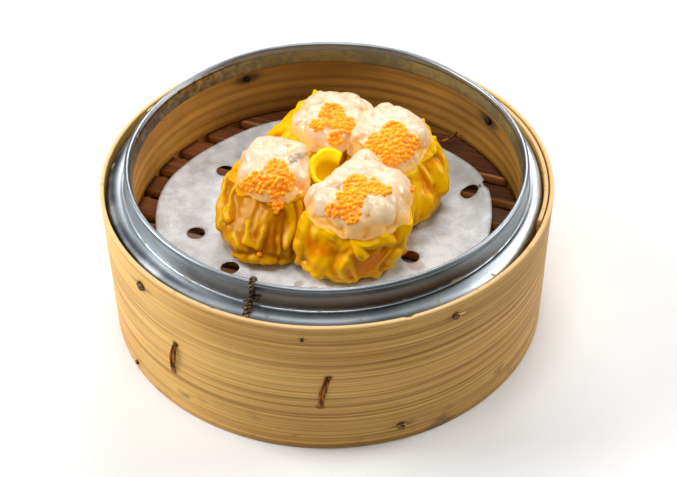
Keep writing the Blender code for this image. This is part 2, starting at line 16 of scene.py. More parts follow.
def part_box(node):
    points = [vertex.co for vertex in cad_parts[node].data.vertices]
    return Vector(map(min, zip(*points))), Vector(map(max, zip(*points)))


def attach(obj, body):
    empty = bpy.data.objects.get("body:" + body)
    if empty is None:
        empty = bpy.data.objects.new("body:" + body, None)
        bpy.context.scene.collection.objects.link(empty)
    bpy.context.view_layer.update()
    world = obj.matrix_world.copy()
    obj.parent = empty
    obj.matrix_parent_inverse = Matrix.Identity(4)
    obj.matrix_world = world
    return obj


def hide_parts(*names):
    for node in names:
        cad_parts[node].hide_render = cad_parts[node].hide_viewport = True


bl_info = {
    "name": "Steamer of Dumplings",
    "version": (1, 0, 0),
    "blender": (4, 5, 0),
    "location": "View3D > Sidebar > Steamer",
    "description": "Builds the looks of a bamboo steamer with four open-topped dumplings",
    "category": "Object",
}

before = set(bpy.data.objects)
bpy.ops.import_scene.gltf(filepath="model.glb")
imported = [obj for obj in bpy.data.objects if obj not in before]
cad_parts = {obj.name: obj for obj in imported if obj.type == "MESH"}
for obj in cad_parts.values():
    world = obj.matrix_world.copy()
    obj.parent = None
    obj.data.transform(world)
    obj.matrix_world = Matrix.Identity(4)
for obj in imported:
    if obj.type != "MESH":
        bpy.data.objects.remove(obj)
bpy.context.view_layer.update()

MM = 0.001
CLOSE = 1e-6
NOISE_SEED = 5  # Without a seed, noise vectors start from the clock.
TURN = 2.0 * math.pi
UP = Vector((0.0, 0.0, 1.0))
GAP = 0.3 * MM
BODY = "root"

# The eye: its place, the point it looks at, and its tilt round the line of sight.
EYE = Vector((0.0, -375.454, 347.259)) * MM
EYE_AIM = Vector((3.804, -6.56, 30.0)) * MM
EYE_ROLL = math.radians(-0.5035)
EYE_LENS = 71.22
EYE_SENSOR = 36.0

# The studio: the floor's half size, drop and colour, the air's colour and strength, and the
# softboxes as name, place, point aimed at, width and depth in metres and power in watts.
GROUND_HALF = 3.0
GROUND_DROP = 0.2 * MM
GROUND_COLOUR = (0.82, 0.82, 0.82, 1.0)
AIR_COLOUR = (0.94, 0.97, 1.0, 1.0)
AIR_STRENGTH = 0.13
SOFTBOXES = (("key", (-0.64, 0.10, 0.52), (0.0, 0.0, 0.03), 0.40, 0.35, 5.9),
             ("right", (0.66, 0.16, 0.50), (0.0, 0.0, 0.05), 0.35, 0.30, 3.4),
             ("back", (0.10, 0.70, 0.66), (0.0, 0.0, 0.05), 0.60, 0.20, 4.4),
             ("top", (-0.05, -0.10, 0.90), (0.0, 0.0, 0.0), 0.30, 0.25, 2.8),
             ("front", (-0.16, -0.62, 0.72), (0.0, 0.0, 0.03), 0.035, 0.03, 0.40))

# Places and sizes that come from the frame.
OUTER_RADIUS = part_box("outer_wrap")[1].x
OUTER_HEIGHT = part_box("outer_wrap")[1].z
LAP_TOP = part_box("outer_lap")[1].z
LAP_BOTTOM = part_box("outer_lap")[0].z
MIDDLE_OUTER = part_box("middle_hoop")[1].x
MIDDLE_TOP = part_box("middle_hoop")[1].z
SUPPORT_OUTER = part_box("support_hoop")[1].x
SUPPORT_BOTTOM, SUPPORT_TOP = (corner.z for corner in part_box("support_hoop"))
WALL_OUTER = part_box("inner_hoop")[1].x
INNER_BOTTOM, INNER_TOP = (corner.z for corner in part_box("inner_hoop"))
SLAT_BOTTOM, SLAT_TOP = (corner.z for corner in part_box("slat_05"))
PAPER_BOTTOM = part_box("paper_liner")[0].z
FOOD_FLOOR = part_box("wrapper_front")[0].z

# Hoops.
LAP_START = math.radians(-22.0)
LAP_END = math.radians(150.0)
MIDDLE_INNER = 71.8 * MM
SUPPORT_INNER = 69.3 * MM
WALL_FOOT_RADIUS = 70.4 * MM
WALL_TOP_RADIUS = 69.2 * MM
WALL_BACK_RADIUS = 70.1 * MM
WALL_SHOULDER = 54.0 * MM

# Nicks in the outer strip's top edge: direction in degrees, half width in degrees, depth.
NICKS = ((-71.5, 0.7, 0.9), (-1.8, 0.5, 0.7), (-24.2, 0.5, 0.5), (-118.0, 0.8, 0.25),
         (-160.0, 1.2, 0.2), (44.0, 1.0, 0.4), (97.0, 0.8, 0.5), (171.0, 0.9, 0.3))

# Slats.
SLAT_ANGLE = math.radians(-21.5)
SLAT_WIDTH = 8.5 * MM
SLAT_PITCH = 12.9 * MM
SLAT_FIRST = -45.3 * MM
SLAT_COUNT = 7
EDGE_SLATS = ((-66.5 * MM, -50.0 * MM), (45.0 * MM, 65.0 * MM))
SLAT_REACH = 71.2 * MM

# Paper.
PAPER_THICKNESS = 0.3 * MM
PAPER_TOP = PAPER_BOTTOM + PAPER_THICKNESS
PAPER_RADIUS = 61.2 * MM
PAPER_FLAT = 0.85
PAPER_HOLES = ((-38.8, 28.6), (-47.5, -7.8), (52.7, 12.4), (28.8, -22.4), (-34.4, -26.7))
HOLE_RADIUS = 3.3 * MM

# Wet marks on the paper: place in mm, and then their reach in mm and strength.
WET_MARKS = ((-27.0, -31.5, 9.0, 0.5), (-15.0, -36.0, 9.0, 0.55), (-4.0, -39.5, 8.0, 0.4))
JUICE_MARK = (30.6, -27.0)

# Fastenings: direction in degrees, then heights and widths in mm. A stitch has an upper
# and a lower end, and how far its two strands stand apart. Each outer peg has a row of
# splinters, which may be empty: their lengths in mm and slopes in degrees.
OUTER_PINS = ((-140.5, 48.9, 3.5), (-59.7, 50.5, 2.6), (-72.9, 7.1, 2.8), (-148.7, 3.6, 1.8),
              (-96.2, 51.3, 1.2))
INNER_PINS = ((116.3, 54.0, 3.0), (28.6, 53.0, 3.4))
SPLINTERS = ((), ((3.4, 24.0), (2.0, -30.0), (1.8, 60.0)), ((1.9, 35.0), (1.7, 150.0)), (),
             ())
STITCHES = ((-129.6, 32.5, -131.5, 17.8, 0.8), (-90.4, 34.4, -92.4, 20.7, 0.35))
STRAND_RADIUS = 0.46 * MM

# The wire over the rim: its direction, its route as (radius, height) in mm, the radius of a
# strand and the twist in radians from one point to the next, and then the knot's radius, its
# middle as (radius, height) in mm, and its points in mm sideways, outwards and up from there.
WIRE_ANGLE = math.radians(-110.0)
WIRE_ROUTE = ((67.6, 58.8), (67.6, 60.4), (67.75, 61.6), (68.15, 62.7), (68.4, 63.7),
              (69.0, 64.4), (69.85, 64.65), (70.7, 64.4), (71.35, 63.7), (71.5, 62.6),
              (71.3, 61.6), (71.15, 60.6), (71.25, 59.4), (71.5, 58.2), (72.0, 57.25),
              (72.8, 56.9), (73.8, 56.95), (74.8, 56.7), (75.7, 56.1), (76.5, 55.3),
              (77.2, 54.3))
WIRE_RADIUS = 0.33 * MM
WIRE_TWIST = 0.62
KNOT_RADIUS = 0.42 * MM
KNOT_MIDDLE = (72.7, 57.9)
KNOT = ((-1.9, 0.9, -0.2), (-1.1, 0.2, 0.35), (0.0, -0.2, 0.5), (1.1, 0.1, 0.3),
        (2.0, -0.5, 0.5), (2.6, -1.2, 1.0))

# The end of rattan on the floor: turn in radians from its direction, radius, height in mm.
FLOOR_TIE_ANGLE = math.radians(42.4)
FLOOR_TIE_RADIUS = 0.42 * MM
FLOOR_TIE = ((0.0, 69.0, 38.0), (0.0, 68.3, 37.9), (0.0, 67.6, 37.5), (0.008, 66.4, 36.9),
             (0.015, 65.0, 36.2), (0.03, 64.1, 35.6), (0.04, 63.4, 35.2))

# Section of the metal rim as (radius, height) in mm: down the outside, and back up the
# inside to the rolled bead, which is a stretch of a circle.
RIM_OUTSIDE = ((70.35, 61.2), (70.5, 59.5), (70.95, 57.4), (71.4, 56.0), (71.9, 55.75),
               (72.6, 56.05), (73.5, 56.2), (74.4, 55.9), (75.2, 55.0), (75.7, 53.8),
               (75.85, 52.3))
RIM_INSIDE = ((75.25, 52.3), (75.1, 53.5), (74.7, 54.4), (74.1, 55.1), (73.4, 55.4),
              (72.6, 55.35), (71.9, 55.1), (71.1, 55.3), (70.4, 57.2), (69.9, 59.5),
              (69.5, 61.0), (69.0, 60.0), (68.85, 57.0), (68.25, 57.0), (68.3, 60.0))
BEAD_MIDDLE = (69.85, 62.95)
BEAD_RADIUS = 1.05
BEAD_START = 165.0
BEAD_STEP = -32.0
BEAD_POINTS = 7

# The brim of the metal rim spreads this much where no second strip lies beside it.
BRIM_SPREAD = 2.1 * MM

# At the back the metal rim is bent up and out by this much.
BACK_RISE = 0.8 * MM
BACK_LEAN = 0.8 * MM

# Food: the skin's thickness, the width of its panels, the height of its wall, the height of
# a fold that counts as full, and the level on which places for roe are given. Then how many
# sides, rows and rings the surfaces have, how far up the filling's steep side goes, and the
# power that gives its mound a flat top.
WRAPPER = 1.0 * MM
PANEL = 8.0 * MM
WALL_HEIGHT = 19.3 * MM
FOLD_FULL = 2.6 * MM
ROE_PLANE = 63.5 * MM
FOOD_SIDES = 280
WALL_ROWS = 56
INSIDE_ROWS = 16
SIDE_ROWS = 22
SIDE_RISE = 0.6
TOP_ROWS = 56
MOUND_POWER = 4.8


class Dumpling:
    """Sizes of one dumpling, its flaps and lumps, and the patches of roe on it.

    Lobes are broad flaps of dough: direction in degrees, reach and rise in mm, width in
    radians. Folds are thick lobes of dough that run between two places on the wall, each
    given as a direction in degrees and a height in mm, then a half width and a swell in mm.
    Pockets are thin places where the filling shows through: direction, height, half width
    and half height. Roe patches are ellipses (x, y, width, depth) in mm, as the eye sees
    them on the level ROE_PLANE. Lumps are (x, y, radius, height) in mm on the filling.
    Strays are single beads, as the eye sees them on the same level, and smudges are dark
    stains of mushroom there: (x, y, width, depth) in mm.
    """

    def __init__(self, name, foot, foot_radius, mouth, mouth_size, lip, top, crown,
                 phase, lobes, folds, pockets, patches, lumps, strays=(), smudges=()):
        self.name = name
        self.foot = Vector(foot) * MM
        self.foot_radius = foot_radius * MM
        self.mouth = Vector(mouth) * MM
        self.mouth_width = mouth_size[0] * MM
        self.mouth_depth = mouth_size[1] * MM
        self.lip = lip * MM
        self.top = top * MM
        self.crown = Vector(crown) * MM
        self.phase = phase
        self.lobes = [(math.radians(a), reach * MM, rise * MM, width)
                      for a, reach, rise, width in lobes]
        self.patches = [tuple(value * MM for value in patch) for patch in patches]
        self.lumps = [tuple(value * MM for value in lump) for lump in lumps]
        self.strays = strays
        self.smudges = [tuple(value * MM for value in smudge) for smudge in smudges]
        self.surfaces = []
        self.presses = []
        self.folds = [self.fold(*row) for row in list(folds) + self.more_folds(folds)]
        self.pockets = [self.fold(a, height, a, height, wide, tall)
                        for a, height, wide, tall in pockets]

    def fold(self, degrees, height, far_degrees, far_height, width, swell):
        """A fold's two ends in metres on the unrolled wall, its half width and swell."""
        start = Vector((math.radians(degrees) * self.foot_radius, height * MM))
        turn = math.remainder(math.radians(far_degrees - degrees), TURN)
        run = Vector((turn * self.foot_radius, (far_height - height) * MM))
        return start, run, 1.15 * width * MM, 0.8 * swell * MM

    def more_folds(self, folds):
        """Folds for the sides without given ones, upright above and lying at the foot."""
        draw = random.Random(self.name)
        taken = [row[0] for row in folds] + [row[2] for row in folds]
        rows = []
        for index in range(34):
            degrees = draw.uniform(-180.0, 180.0)
            if min(abs(math.remainder(degrees - other, 360.0)) for other in taken) < 13.0:
                continue
            if index % 3:
                low = draw.uniform(4.0, 13.0)
                rows.append((degrees, low + draw.uniform(3.0, 7.0),
                             degrees + draw.uniform(-14.0, 14.0), low,
                             draw.uniform(1.4, 2.6), draw.uniform(1.6, 2.8)))
            else:
                rows.append((degrees, draw.uniform(2.0, 4.5),
                             degrees + draw.uniform(10.0, 22.0), draw.uniform(2.0, 4.5),
                             draw.uniform(1.8, 2.4), draw.uniform(1.8, 2.8)))
        return rows


DUMPLINGS = (
    Dumpling("front", (7.0, -17.9), 19.2, (10.3, -14.0), (18.0, 19.8), 54.2, 63.8,
             (9.0, -17.4), 0.4,
             ((-35.0, 2.4, -1.5, 0.25), (-78.0, 1.6, -2.5, 0.3), (2.0, 1.5, 1.0, 0.2),
              (203.0, 2.0, 0.5, 0.25)),
             ((-148, 9, -148, 4, 2.6, 2.2), (-135, 4.5, -122, 3.5, 2.4, 2.2),
              (-108, 5.5, -117, 8.5, 2.2, 1.4), (-128, 15, -122, 9, 5.0, 1.6),
              (-92, 18.5, -85, 15, 2.0, 2.6), (-85, 18.8, -68, 18, 1.5, 2.4),
              (-63, 18.8, -57, 15, 1.9, 2.5), (-39, 9.3, -39, 7.5, 2.8, 3.2),
              (-34, 18, -47, 15, 2.0, 1.8), (-37, 14, -20, 5, 2.0, 2.2),
              (-57, 2.2, -45, 4, 2.4, 2.2), (-99, 6, -96, 12, 1.1, 1.7),
              (-96, 12, -82, 5, 1.1, 1.7), (-56, 13, -60, 4, 1.1, 1.5),
              (-160, 18, -145, 15, 1.8, 1.6), (-19, 18.5, -15, 14, 2.4, 2.4),
              (-5, 15, -3, 5, 2.2, 2.0), (12, 18, 10, 8, 2.2, 2.0),
              (-119, 18.5, -108, 18, 1.3, 1.4)),
             ((-70, 11, 3.4, 5.5), (-90, 8.5, 2.8, 3.4), (-126, 14, 5.0, 4.0)),
             ((9.8, -19.0, 4.1, 6.7), (6.9, -27.7, 4.6, 7.4), (15.9, -19.1, 2.5, 4.0),
              (19.5, -21.0, 1.6, 2.5), (2.0, -31.0, 2.4, 3.8), (7.9, -33.7, 2.7, 4.2)),
             ((-2.2, -19.9, 4.6, 1.8), (19.4, -25.8, 4.4, 2.2), (22.4, -12.0, 5.0, 1.0),
              (11.0, 1.4, 5.0, 0.8)),
             ((28.6, -19.8), (28.3, -21.4))),
    Dumpling("left", (-19.8, -10.2), 16.6, (-17.2, 0.6), (12.8, 15.8), 54.0, 63.4,
             (-18.2, -3.0), 1.3,
             ((176.0, 3.4, -1.5, 0.26), (148.0, 2.6, 0.0, 0.22), (212.0, 2.6, -1.5, 0.28),
              (262.0, 2.0, 0.5, 0.3), (296.0, 1.2, 1.5, 0.2)),
             ((169, 18, -177, 12, 2.3, 3.6), (-172, 10, -168, 9, 2.2, 3.6),
              (-165, 18.5, -152, 15, 1.6, 2.3), (-150, 13, -160, 12.5, 2.0, 2.6),
              (-164, 7, -135, 7, 3.0, 1.6), (-125, 14, -122, 10, 1.3, 2.3),
              (-122, 10, -106, 9, 1.3, 2.3), (-106, 9, -103, 13.5, 1.2, 2.0),
              (-77, 18.5, -73, 10, 1.9, 3.3), (-63, 17, -61, 10, 1.6, 2.4),
              (-130, 2.5, -111, 4, 2.0, 3.0), (-100, 4, -87, 3, 2.2, 2.7),
              (-73, 2.5, -66, 2, 2.2, 2.7), (-86, 11, -82, 7, 1.2, 1.6),
              (-56, 19, -50, 16, 1.4, 2.4), (148, 17, 152, 9, 2.2, 3.0)),
             ((-112, 11.3, 2.0, 3.5), (-142, 13.5, 3.0, 3.0), (-93, 12, 3.6, 5.0)),
             ((-17.4, -9.3, 3.7, 6.0), (-23.4, -15.5, 3.6, 5.9), (-14.5, -14.8, 3.0, 5.0),
              (-27.3, -16.3, 1.9, 3.2), (-17.2, -20.1, 2.5, 4.0), (-16.5, -27.9, 1.3, 2.1)),
             ((-25.2, -16.6, 3.6, 1.8), (-26.5, 3.3, 4.0, 1.0), (-11.0, -6.0, 4.0, 0.6),
              (-12.0, 8.0, 4.0, 0.8)),
             ((-16.6, -27.3), (-17.6, -29.3), (-17.2, -31.5), (-15.6, -28.9),
              (-22.0, -52.5)),
             ((-11.8, -3.1, 2.0, 3.4), (-5.4, 0.2, 3.6, 2.0), (-9.2, -1.0, 3.0, 2.4))),
    Dumpling("back", (-3.0, 31.6), 17.8, (3.2, 29.0), (13.6, 15.0), 55.0, 62.4,
             (4.0, 27.6), 2.1,
             ((168.0, 4.6, -1.0, 0.3), (136.0, 3.6, 1.0, 0.22), (112.0, 2.6, 4.5, 0.15),
              (205.0, 2.8, -0.5, 0.28)),
             ((168, 16, 176, 8, 3.0, 2.4), (150, 18.5, 150, 16, 1.8, 3.2),
              (126, 19, 124, 16, 1.6, 3.0), (200, 12, 205, 5, 2.4, 2.2),
              (185, 18, 193, 14, 1.8, 2.6), (-122, 17, -118, 8, 1.8, 2.4)),
             ((180, 13, 3.5, 4.0),),
             ((2.1, 23.0, 4.4, 7.7), (7.3, 16.8, 2.9, 4.9), (-3.3, 17.1, 2.1, 3.5),
              (3.1, 9.1, 2.3, 3.9)),
             ((-7.0, 27.0, 5.0, 1.2), (10.0, 35.0, 5.0, 0.8), (-5.0, 18.0, 4.0, 1.0),
              (12.0, 22.0, 4.0, 1.0))),
    Dumpling("right", (24.6, 8.6), 16.8, (22.2, 16.6), (13.0, 16.4), 54.4, 63.6,
             (21.6, 15.2), 0.9,
             ((6.0, 4.2, 2.0, 0.3), (-24.0, 3.4, 0.0, 0.28), (-62.0, 1.8, -1.5, 0.3),
              (38.0, 3.2, 3.0, 0.24)),
             ((-78, 18.8, -57, 18.5, 1.3, 2.0), (-66, 17, -66, 5, 4.2, 2.0),
              (-26, 15, -22, 9.5, 2.6, 3.6), (-47, 11, -51, 5, 2.2, 2.8),
              (-44, 18.5, -37, 15, 1.6, 2.3), (-8, 18, -12, 11, 2.2, 2.8),
              (-15, 19.2, -5, 18, 1.6, 2.6), (8, 12, 4, 5, 2.4, 2.4)),
             ((-46, 14.5, 2.4, 4.0), (-20, 16, 2.6, 3.0)),
             ((24.3, 11.4, 4.4, 7.4), (19.1, 3.8, 4.9, 8.2), (25.9, 2.7, 4.6, 7.7),
              (30.1, 6.0, 2.6, 4.4), (22.9, -1.0, 3.4, 5.7)),
             ((33.0, 13.2, 3.6, 1.2), (25.7, -0.6, 3.2, 1.3), (22.5, 30.0, 4.5, 1.3),
              (30.0, 23.0, 4.0, 1.0))),
)

# Flat faces between neighbours: first, second, a point on the face, direction of its normal.
# None stands for the loose petal of dough in the middle.
PRESSES = (
    ("front", "left", (-7.4, -19.0), 142.0),
    ("front", "right", (22.0, -2.5), 42.0),
    ("back", "right", (12.2, 24.6), -30.5),
    ("left", "back", (-14.6, 13.6), 62.0),
    ("left", None, (-6.1, 6.0), 0.0),
)

# The petal of loose dough in the middle: its rim's middle, half sizes and reach round it.
CURL_RIM = Vector((0.7, 5.9, 53.7)) * MM
CURL_HALF = Vector((5.3, 3.2, 4.2)) * MM
CURL_START = math.radians(48.0)
CURL_SWEEP = math.radians(232.0)
CURL_BOTTOM = Vector((0.6, 7.0, 47.5)) * MM
CURL_FLARE = 1.0 * MM
CURL_THICKNESS = 1.5 * MM


# Fixed colours of stains, marks and small things, and of painted shade, painted reflections and
# painted glow.
# Painted shade of the outer strip towards the front right.
BAMBOO_SHADE = (0.46, 0.20, 0.02)
BAMBOO_CRACK = (0.20, 0.09, 0.025)
STITCH_HOLE = (0.045, 0.025, 0.012)
WALL_HOLE = (0.03, 0.012, 0.004)
PEG_LIGHT = (0.30, 0.15, 0.05)
WIRE_LIGHT = (0.36, 0.25, 0.13)
WIRE_DARK = (0.05, 0.03, 0.014)
# Painted dark reflection on the inner flange at the front right.
FLANGE_DARK_REFLECTION = (0.03, 0.03, 0.035)
# Painted dark brown reflection on the collar's front.
COLLAR_DARK_REFLECTION = (0.10, 0.07, 0.045)
LINING_DARK = (0.12, 0.08, 0.012)
LINING_LIGHT = (0.24, 0.15, 0.0)
# Painted light and dark reflections of the crumpled lining.
CRUMPLE_DARK = (0.15, 0.13, 0.10)
CRUMPLE_LIGHT = (0.36, 0.32, 0.26)
SEAM = (0.015, 0.012, 0.008)
RESIDUE = (0.36, 0.29, 0.14)
PAPER_WET = (0.20, 0.12, 0.075)
PAPER_JUICE = (0.38, 0.17, 0.12)
# Painted shade of the dumpling at the left.
DOUGH_SHADE = (0.42, 0.125, 0.0)
# Painted light on the loose petal: its lit yellow and its glow.
CURL_LIT_YELLOW = (0.98, 0.82, 0.02)
CURL_GLOW = (1.0, 0.85, 0.0)
NO_GLOW = (0.0, 0.0, 0.0)
# Painted glow of the filling, and of its creases.
FILLING_GLOW = (0.98, 0.70, 0.28)
CREASE_GLOW = (0.80, 0.38, 0.08)
ROE_STAIN = (1.0, 0.22, 0.002)
SPECK = (0.22, 0.10, 0.05)
MUSHROOM = (0.12, 0.10, 0.095)


# --- Sizes and colours that a user may change ------------------------------------------


def size(name, description, default):
    """A length in metres that a user may change."""
    return bpy.props.FloatProperty(name=name, description=description, default=default,
                                   min=0.0, subtype="DISTANCE", unit="LENGTH", precision=5)


def tint(name, description, default):
    """A colour that a user may change."""
    return bpy.props.FloatVectorProperty(name=name, description=description, default=default,
                                         size=3, min=0.0, max=1.0, subtype="COLOR")


class SteamerSizes(bpy.types.PropertyGroup):
    """Sizes of the basket's and the food's fine shape."""

    strip: size("Strip thickness", "Thickness of the wound bamboo strip", 1.6 * MM)
    edge: size("Edge rounding", "Rounding of the cut edges of bamboo", 0.35 * MM)
    wear: size("Edge wear", "How far the strip's top edge is worn down", 0.25 * MM)
    ridge: size("Wall ridges", "Depth of the ridges on the inner wall", 0.35 * MM)
    board_edge: size("Slat rounding", "Rounding of the slats' long edges", 0.8 * MM)
    cockle: size("Paper waves", "Height of the waves in damp paper", 0.25 * MM)
    lump: size("Filling lumps", "Height of the lumps in the filling", 2.0 * MM)
    bead: size("Roe bead", "Radius of one bead of roe", 0.92 * MM)
    ridge_count: bpy.props.IntProperty(name="Ridge count", description="Ridges on the wall",
                                       default=5, min=1, max=12)


class SteamerColours(bpy.types.PropertyGroup):
    """Colours of the finishes."""

    bamboo: tint("Bamboo", "Outer strip in the light", (0.91, 0.56, 0.16))
    bamboo_deep: tint("Bamboo fibres", "Dark fibres of the outer strip", (0.57, 0.265, 0.05))
    bamboo_cut: tint("Cut edge", "Fresh edge of a bamboo strip", (0.80, 0.53, 0.24))
    wall: tint("Inner wall", "Steamed inner wall", (0.37, 0.18, 0.03))
    slat: tint("Slats", "Dark, steamed slats", (0.15, 0.045, 0.013))
    slat_worn: tint("Slat edges", "Worn edges of the slats", (0.50, 0.19, 0.045))
    steel: tint("Steel", "Bright metal of the rim", (0.46, 0.50, 0.53))
    grime: tint("Grime", "Residue on metal and in holes", (0.10, 0.065, 0.03))
    rattan: tint("Rattan", "Binding strands", (0.66, 0.19, 0.02))
    paper: tint("Paper", "Damp paper", (0.77, 0.80, 0.82))
    dough: tint("Dough", "Yellow dough", (0.76, 0.335, 0.0))
    dough_warm: tint("Dough over filling", "Dough that lies on filling", (0.76, 0.23, 0.0))
    dough_pale: tint("Dough folds", "Thick folds and loose edges", (0.82, 0.48, 0.0))
    # Painted shade of the dough's creases.
    dough_deep: tint("Dough creases", "Creases of the dough", (0.56, 0.20, 0.0))
    filling: tint("Filling", "Pale, glossy filling", (0.57, 0.44, 0.34))
    # The peach and juice colours also paint the filling's warm shade in creases, on its sides
    # and at its edge.
    filling_pink: tint("Peach filling", "Sides and creases of filling", (0.60, 0.31, 0.15))
    juice: tint("Juice", "Filling stained by the dough", (0.78, 0.39, 0.04))
    roe: tint("Roe", "Orange beads", (1.0, 0.39, 0.004))


# --- Shader maths --------------------------------------------------------------------------


class Wire:
    """A number that runs through a material's nodes; operators add Math nodes to it."""

    def __init__(self, finish, socket):
        self.finish = finish
        self.socket = socket

    def maths(self, operation, first, second):
        """A Math node on two numbers, either of which may be a plain one."""
        return self.finish.node("ShaderNodeMath", {"operation": operation},
                                {0: first, 1: second})

    def __add__(self, other):
        return self.maths("ADD", self, other)

    def __sub__(self, other):
        return self.maths("SUBTRACT", self, other)

    def __rsub__(self, other):
        return self.maths("SUBTRACT", other, self)

    def __mul__(self, other):
        return self.maths("MULTIPLY", self, other)

    def __truediv__(self, other):
        return self.maths("DIVIDE", self, other)

    def __pow__(self, other):
        return self.maths("POWER", self, other)

    __radd__ = __add__
    __rmul__ = __mul__


class Finish:
    """One material: a Principled shader and the nodes that feed it."""

    def __init__(self, name, **settings):
        self.material = bpy.data.materials.new(name)
        self.material.use_nodes = True
        self.tree = self.material.node_tree
        self.shader = self.tree.nodes["Principled BSDF"]
        for key, value in settings.items():
            socket = key.replace("_", " ").title().replace("Ior", "IOR")
            self.shader.inputs[socket].default_value = value

    def node(self, kind, settings=None, inputs=None, output=0):
        """Adds a node: first its settings, then the values or links of its sockets."""
        made = self.tree.nodes.new(kind)
        for key, value in (settings or {}).items():
            setattr(made, key, value)
        for key, value in (inputs or {}).items():
            if isinstance(value, Wire):
                self.tree.links.new(value.socket, made.inputs[key])
            else:
                made.inputs[key].default_value = value
        return Wire(self, made.outputs[output])

    def feed(self, socket, value):
        """Links a number or a colour to a socket of the shader."""
        self.tree.links.new(value.socket, self.shader.inputs[socket])

    def place(self):
        """Object coordinates, which are metres here."""
        return self.node("ShaderNodeTexCoord", output="Object")

    def axes(self):
        """The three Object coordinates, each as a number."""
        split = self.node("ShaderNodeSeparateXYZ", inputs={0: self.place()})
        node = split.socket.node
        return [Wire(self, node.outputs[index]) for index in range(3)]

    def attribute(self, name):
        """A layer of numbers that the mesh brings along."""
        return self.node("ShaderNodeAttribute", {"attribute_name": name}, output="Fac")

    def scaled(self, x, y, z, turn=0.0):
        """Object coordinates turned about Z and then scaled along each axis."""
        turned = self.node("ShaderNodeVectorRotate", {"rotation_type": "Z_AXIS"},
                           {"Vector": self.place(), "Angle": turn})
        return self.node("ShaderNodeVectorMath", {"operation": "MULTIPLY"},
                         {0: turned, 1: (x, y, z)})

    def noise(self, scales, detail=2.0, roughness=0.5, distortion=0.0, turn=0.0):
        """Noise with about so many features a metre, one scale for all axes or one each."""
        x, y, z = scales if isinstance(scales, tuple) else (scales, scales, scales)
        return self.node("ShaderNodeTexNoise", None,
                         {"Vector": self.scaled(x, y, z, turn), "Scale": 1.0,
                          "Detail": detail, "Roughness": roughness,
                          "Distortion": distortion})

    def band(self, value, low, high):
        """0 below low, 1 above high, and a smooth rise between them."""
        return self.node("ShaderNodeMapRange", {"interpolation_type": "SMOOTHSTEP"},
                         {0: value, 1: low, 2: high, 3: 0.0, 4: 1.0})

    def below(self, value, low, high):
        """1 below low, 0 above high, and a smooth fall between them."""
        return 1.0 - self.band(value, low, high)

    def between(self, value, low, high, soft):
        """1 between low and high, with soft ends."""
        return self.band(value, low - soft, low + soft) * self.below(
            value, high - soft, high + soft)

    def near(self, point, inner, outer, flat=1.0):
        """1 within the inner radius of a point, fading to 0 at the outer one; flat > 1
        squeezes the mark in height."""
        squeezed = (point[0], point[1], point[2] * flat)
        far = self.node("ShaderNodeVectorMath", {"operation": "DISTANCE"},
                        {0: self.scaled(1.0, 1.0, flat), 1: squeezed}, output="Value")
        return self.below(far, inner, outer)

    def mix(self, mask, first, second):
        """Colour mix: the first colour where the mask is 0, the second where it is 1."""
        sockets = {0: mask}
        for index, colour in ((6, first), (7, second)):
            sockets[index] = colour if isinstance(colour, Wire) else (*colour, 1.0)
        return self.node("ShaderNodeMix", {"data_type": "RGBA"}, sockets, output=2)

    def shaded(self, colour, factor):
        """A colour times a number."""
        return self.node("ShaderNodeVectorMath", {"operation": "SCALE"},
                         {0: colour, "Scale": factor})

    def relief(self, *layers):
        """Bump nodes in a row: each layer is a height between 0 and 1 and its depth."""
        normal = None
        for height, depth in layers:
            sockets = {"Strength": 1.0, "Distance": depth, "Height": height}
            if normal:
                sockets["Normal"] = normal
            normal = self.node("ShaderNodeBump", None, sockets)
        self.feed("Normal", normal)


# --- Geometry helpers ----------------------------------------------------------------------


def polar(angle, radius, height=0.0):
    """A point by its direction, its distance from the basket's axis and its height."""
    return Vector((radius * math.cos(angle), radius * math.sin(angle), height))


def dimmed(colour, share):
    """A colour with a share of its brightness."""
    return [share * part for part in colour]


def smooth_step(low, high, value):
    """0 below low, 1 above high, and a smooth rise between them."""
    share = min(max((value - low) / (high - low), 0.0), 1.0)
    return share * share * (3.0 - 2.0 * share)


def bell(off):
    """1 at no distance, and falling to nothing over about twice the width."""
    return math.exp(-off * off)


def steady(place, scale, seed=0.0):
    """Noise from -1 to 1 whose features are about one over scale metres wide."""
    return noise.noise(place * scale + Vector((seed, 7.3 * seed, -3.1 * seed)))


def cobbles(place, width, seed=0.0):
    """Rounded lumps of one width, touching each other: 0 in the seams and 1 on top."""
    near = noise.voronoi(place / width + Vector((seed, seed, seed)))[0][0]
    return 1.0 - min(near, 1.0) ** 2


def hollows(shape, depth, rounds):
    """How deep the corners lie: 1 in a crease of a depth, 0.5 on a flat, 0 on a ridge."""
    shape.verts.index_update()
    shape.normal_update()
    places = numpy.array([vert.co for vert in shape.verts])
    normals = numpy.array([vert.normal for vert in shape.verts])
    pairs = numpy.array([[vert.index for vert in edge.verts] for edge in shape.edges])
    counts = numpy.bincount(pairs.ravel(), minlength=len(places))[:, None]
    blurred = places.copy()
    for _ in range(rounds):
        total = numpy.zeros_like(blurred)
        numpy.add.at(total, pairs[:, 0], blurred[pairs[:, 1]])
        numpy.add.at(total, pairs[:, 1], blurred[pairs[:, 0]])
        blurred = 0.5 * blurred + 0.5 * total / counts
    sunk = ((blurred - places) * normals).sum(axis=1)
    return numpy.clip(0.5 + 0.5 * sunk / depth, 0.0, 1.0)


def piece(name, shape, finishes, replaced):
    """Makes an object of a bmesh, hands it to the basket's body, and names its node."""
    mesh = bpy.data.meshes.new(name)
    shape.to_mesh(mesh)
    shape.free()
    mesh.shade_smooth()
    for finish in finishes:
        mesh.materials.append(finish.material)
    made = bpy.data.objects.new(name, mesh)
    bpy.context.scene.collection.objects.link(made)
    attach(made, BODY)
    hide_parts(replaced)
    return made


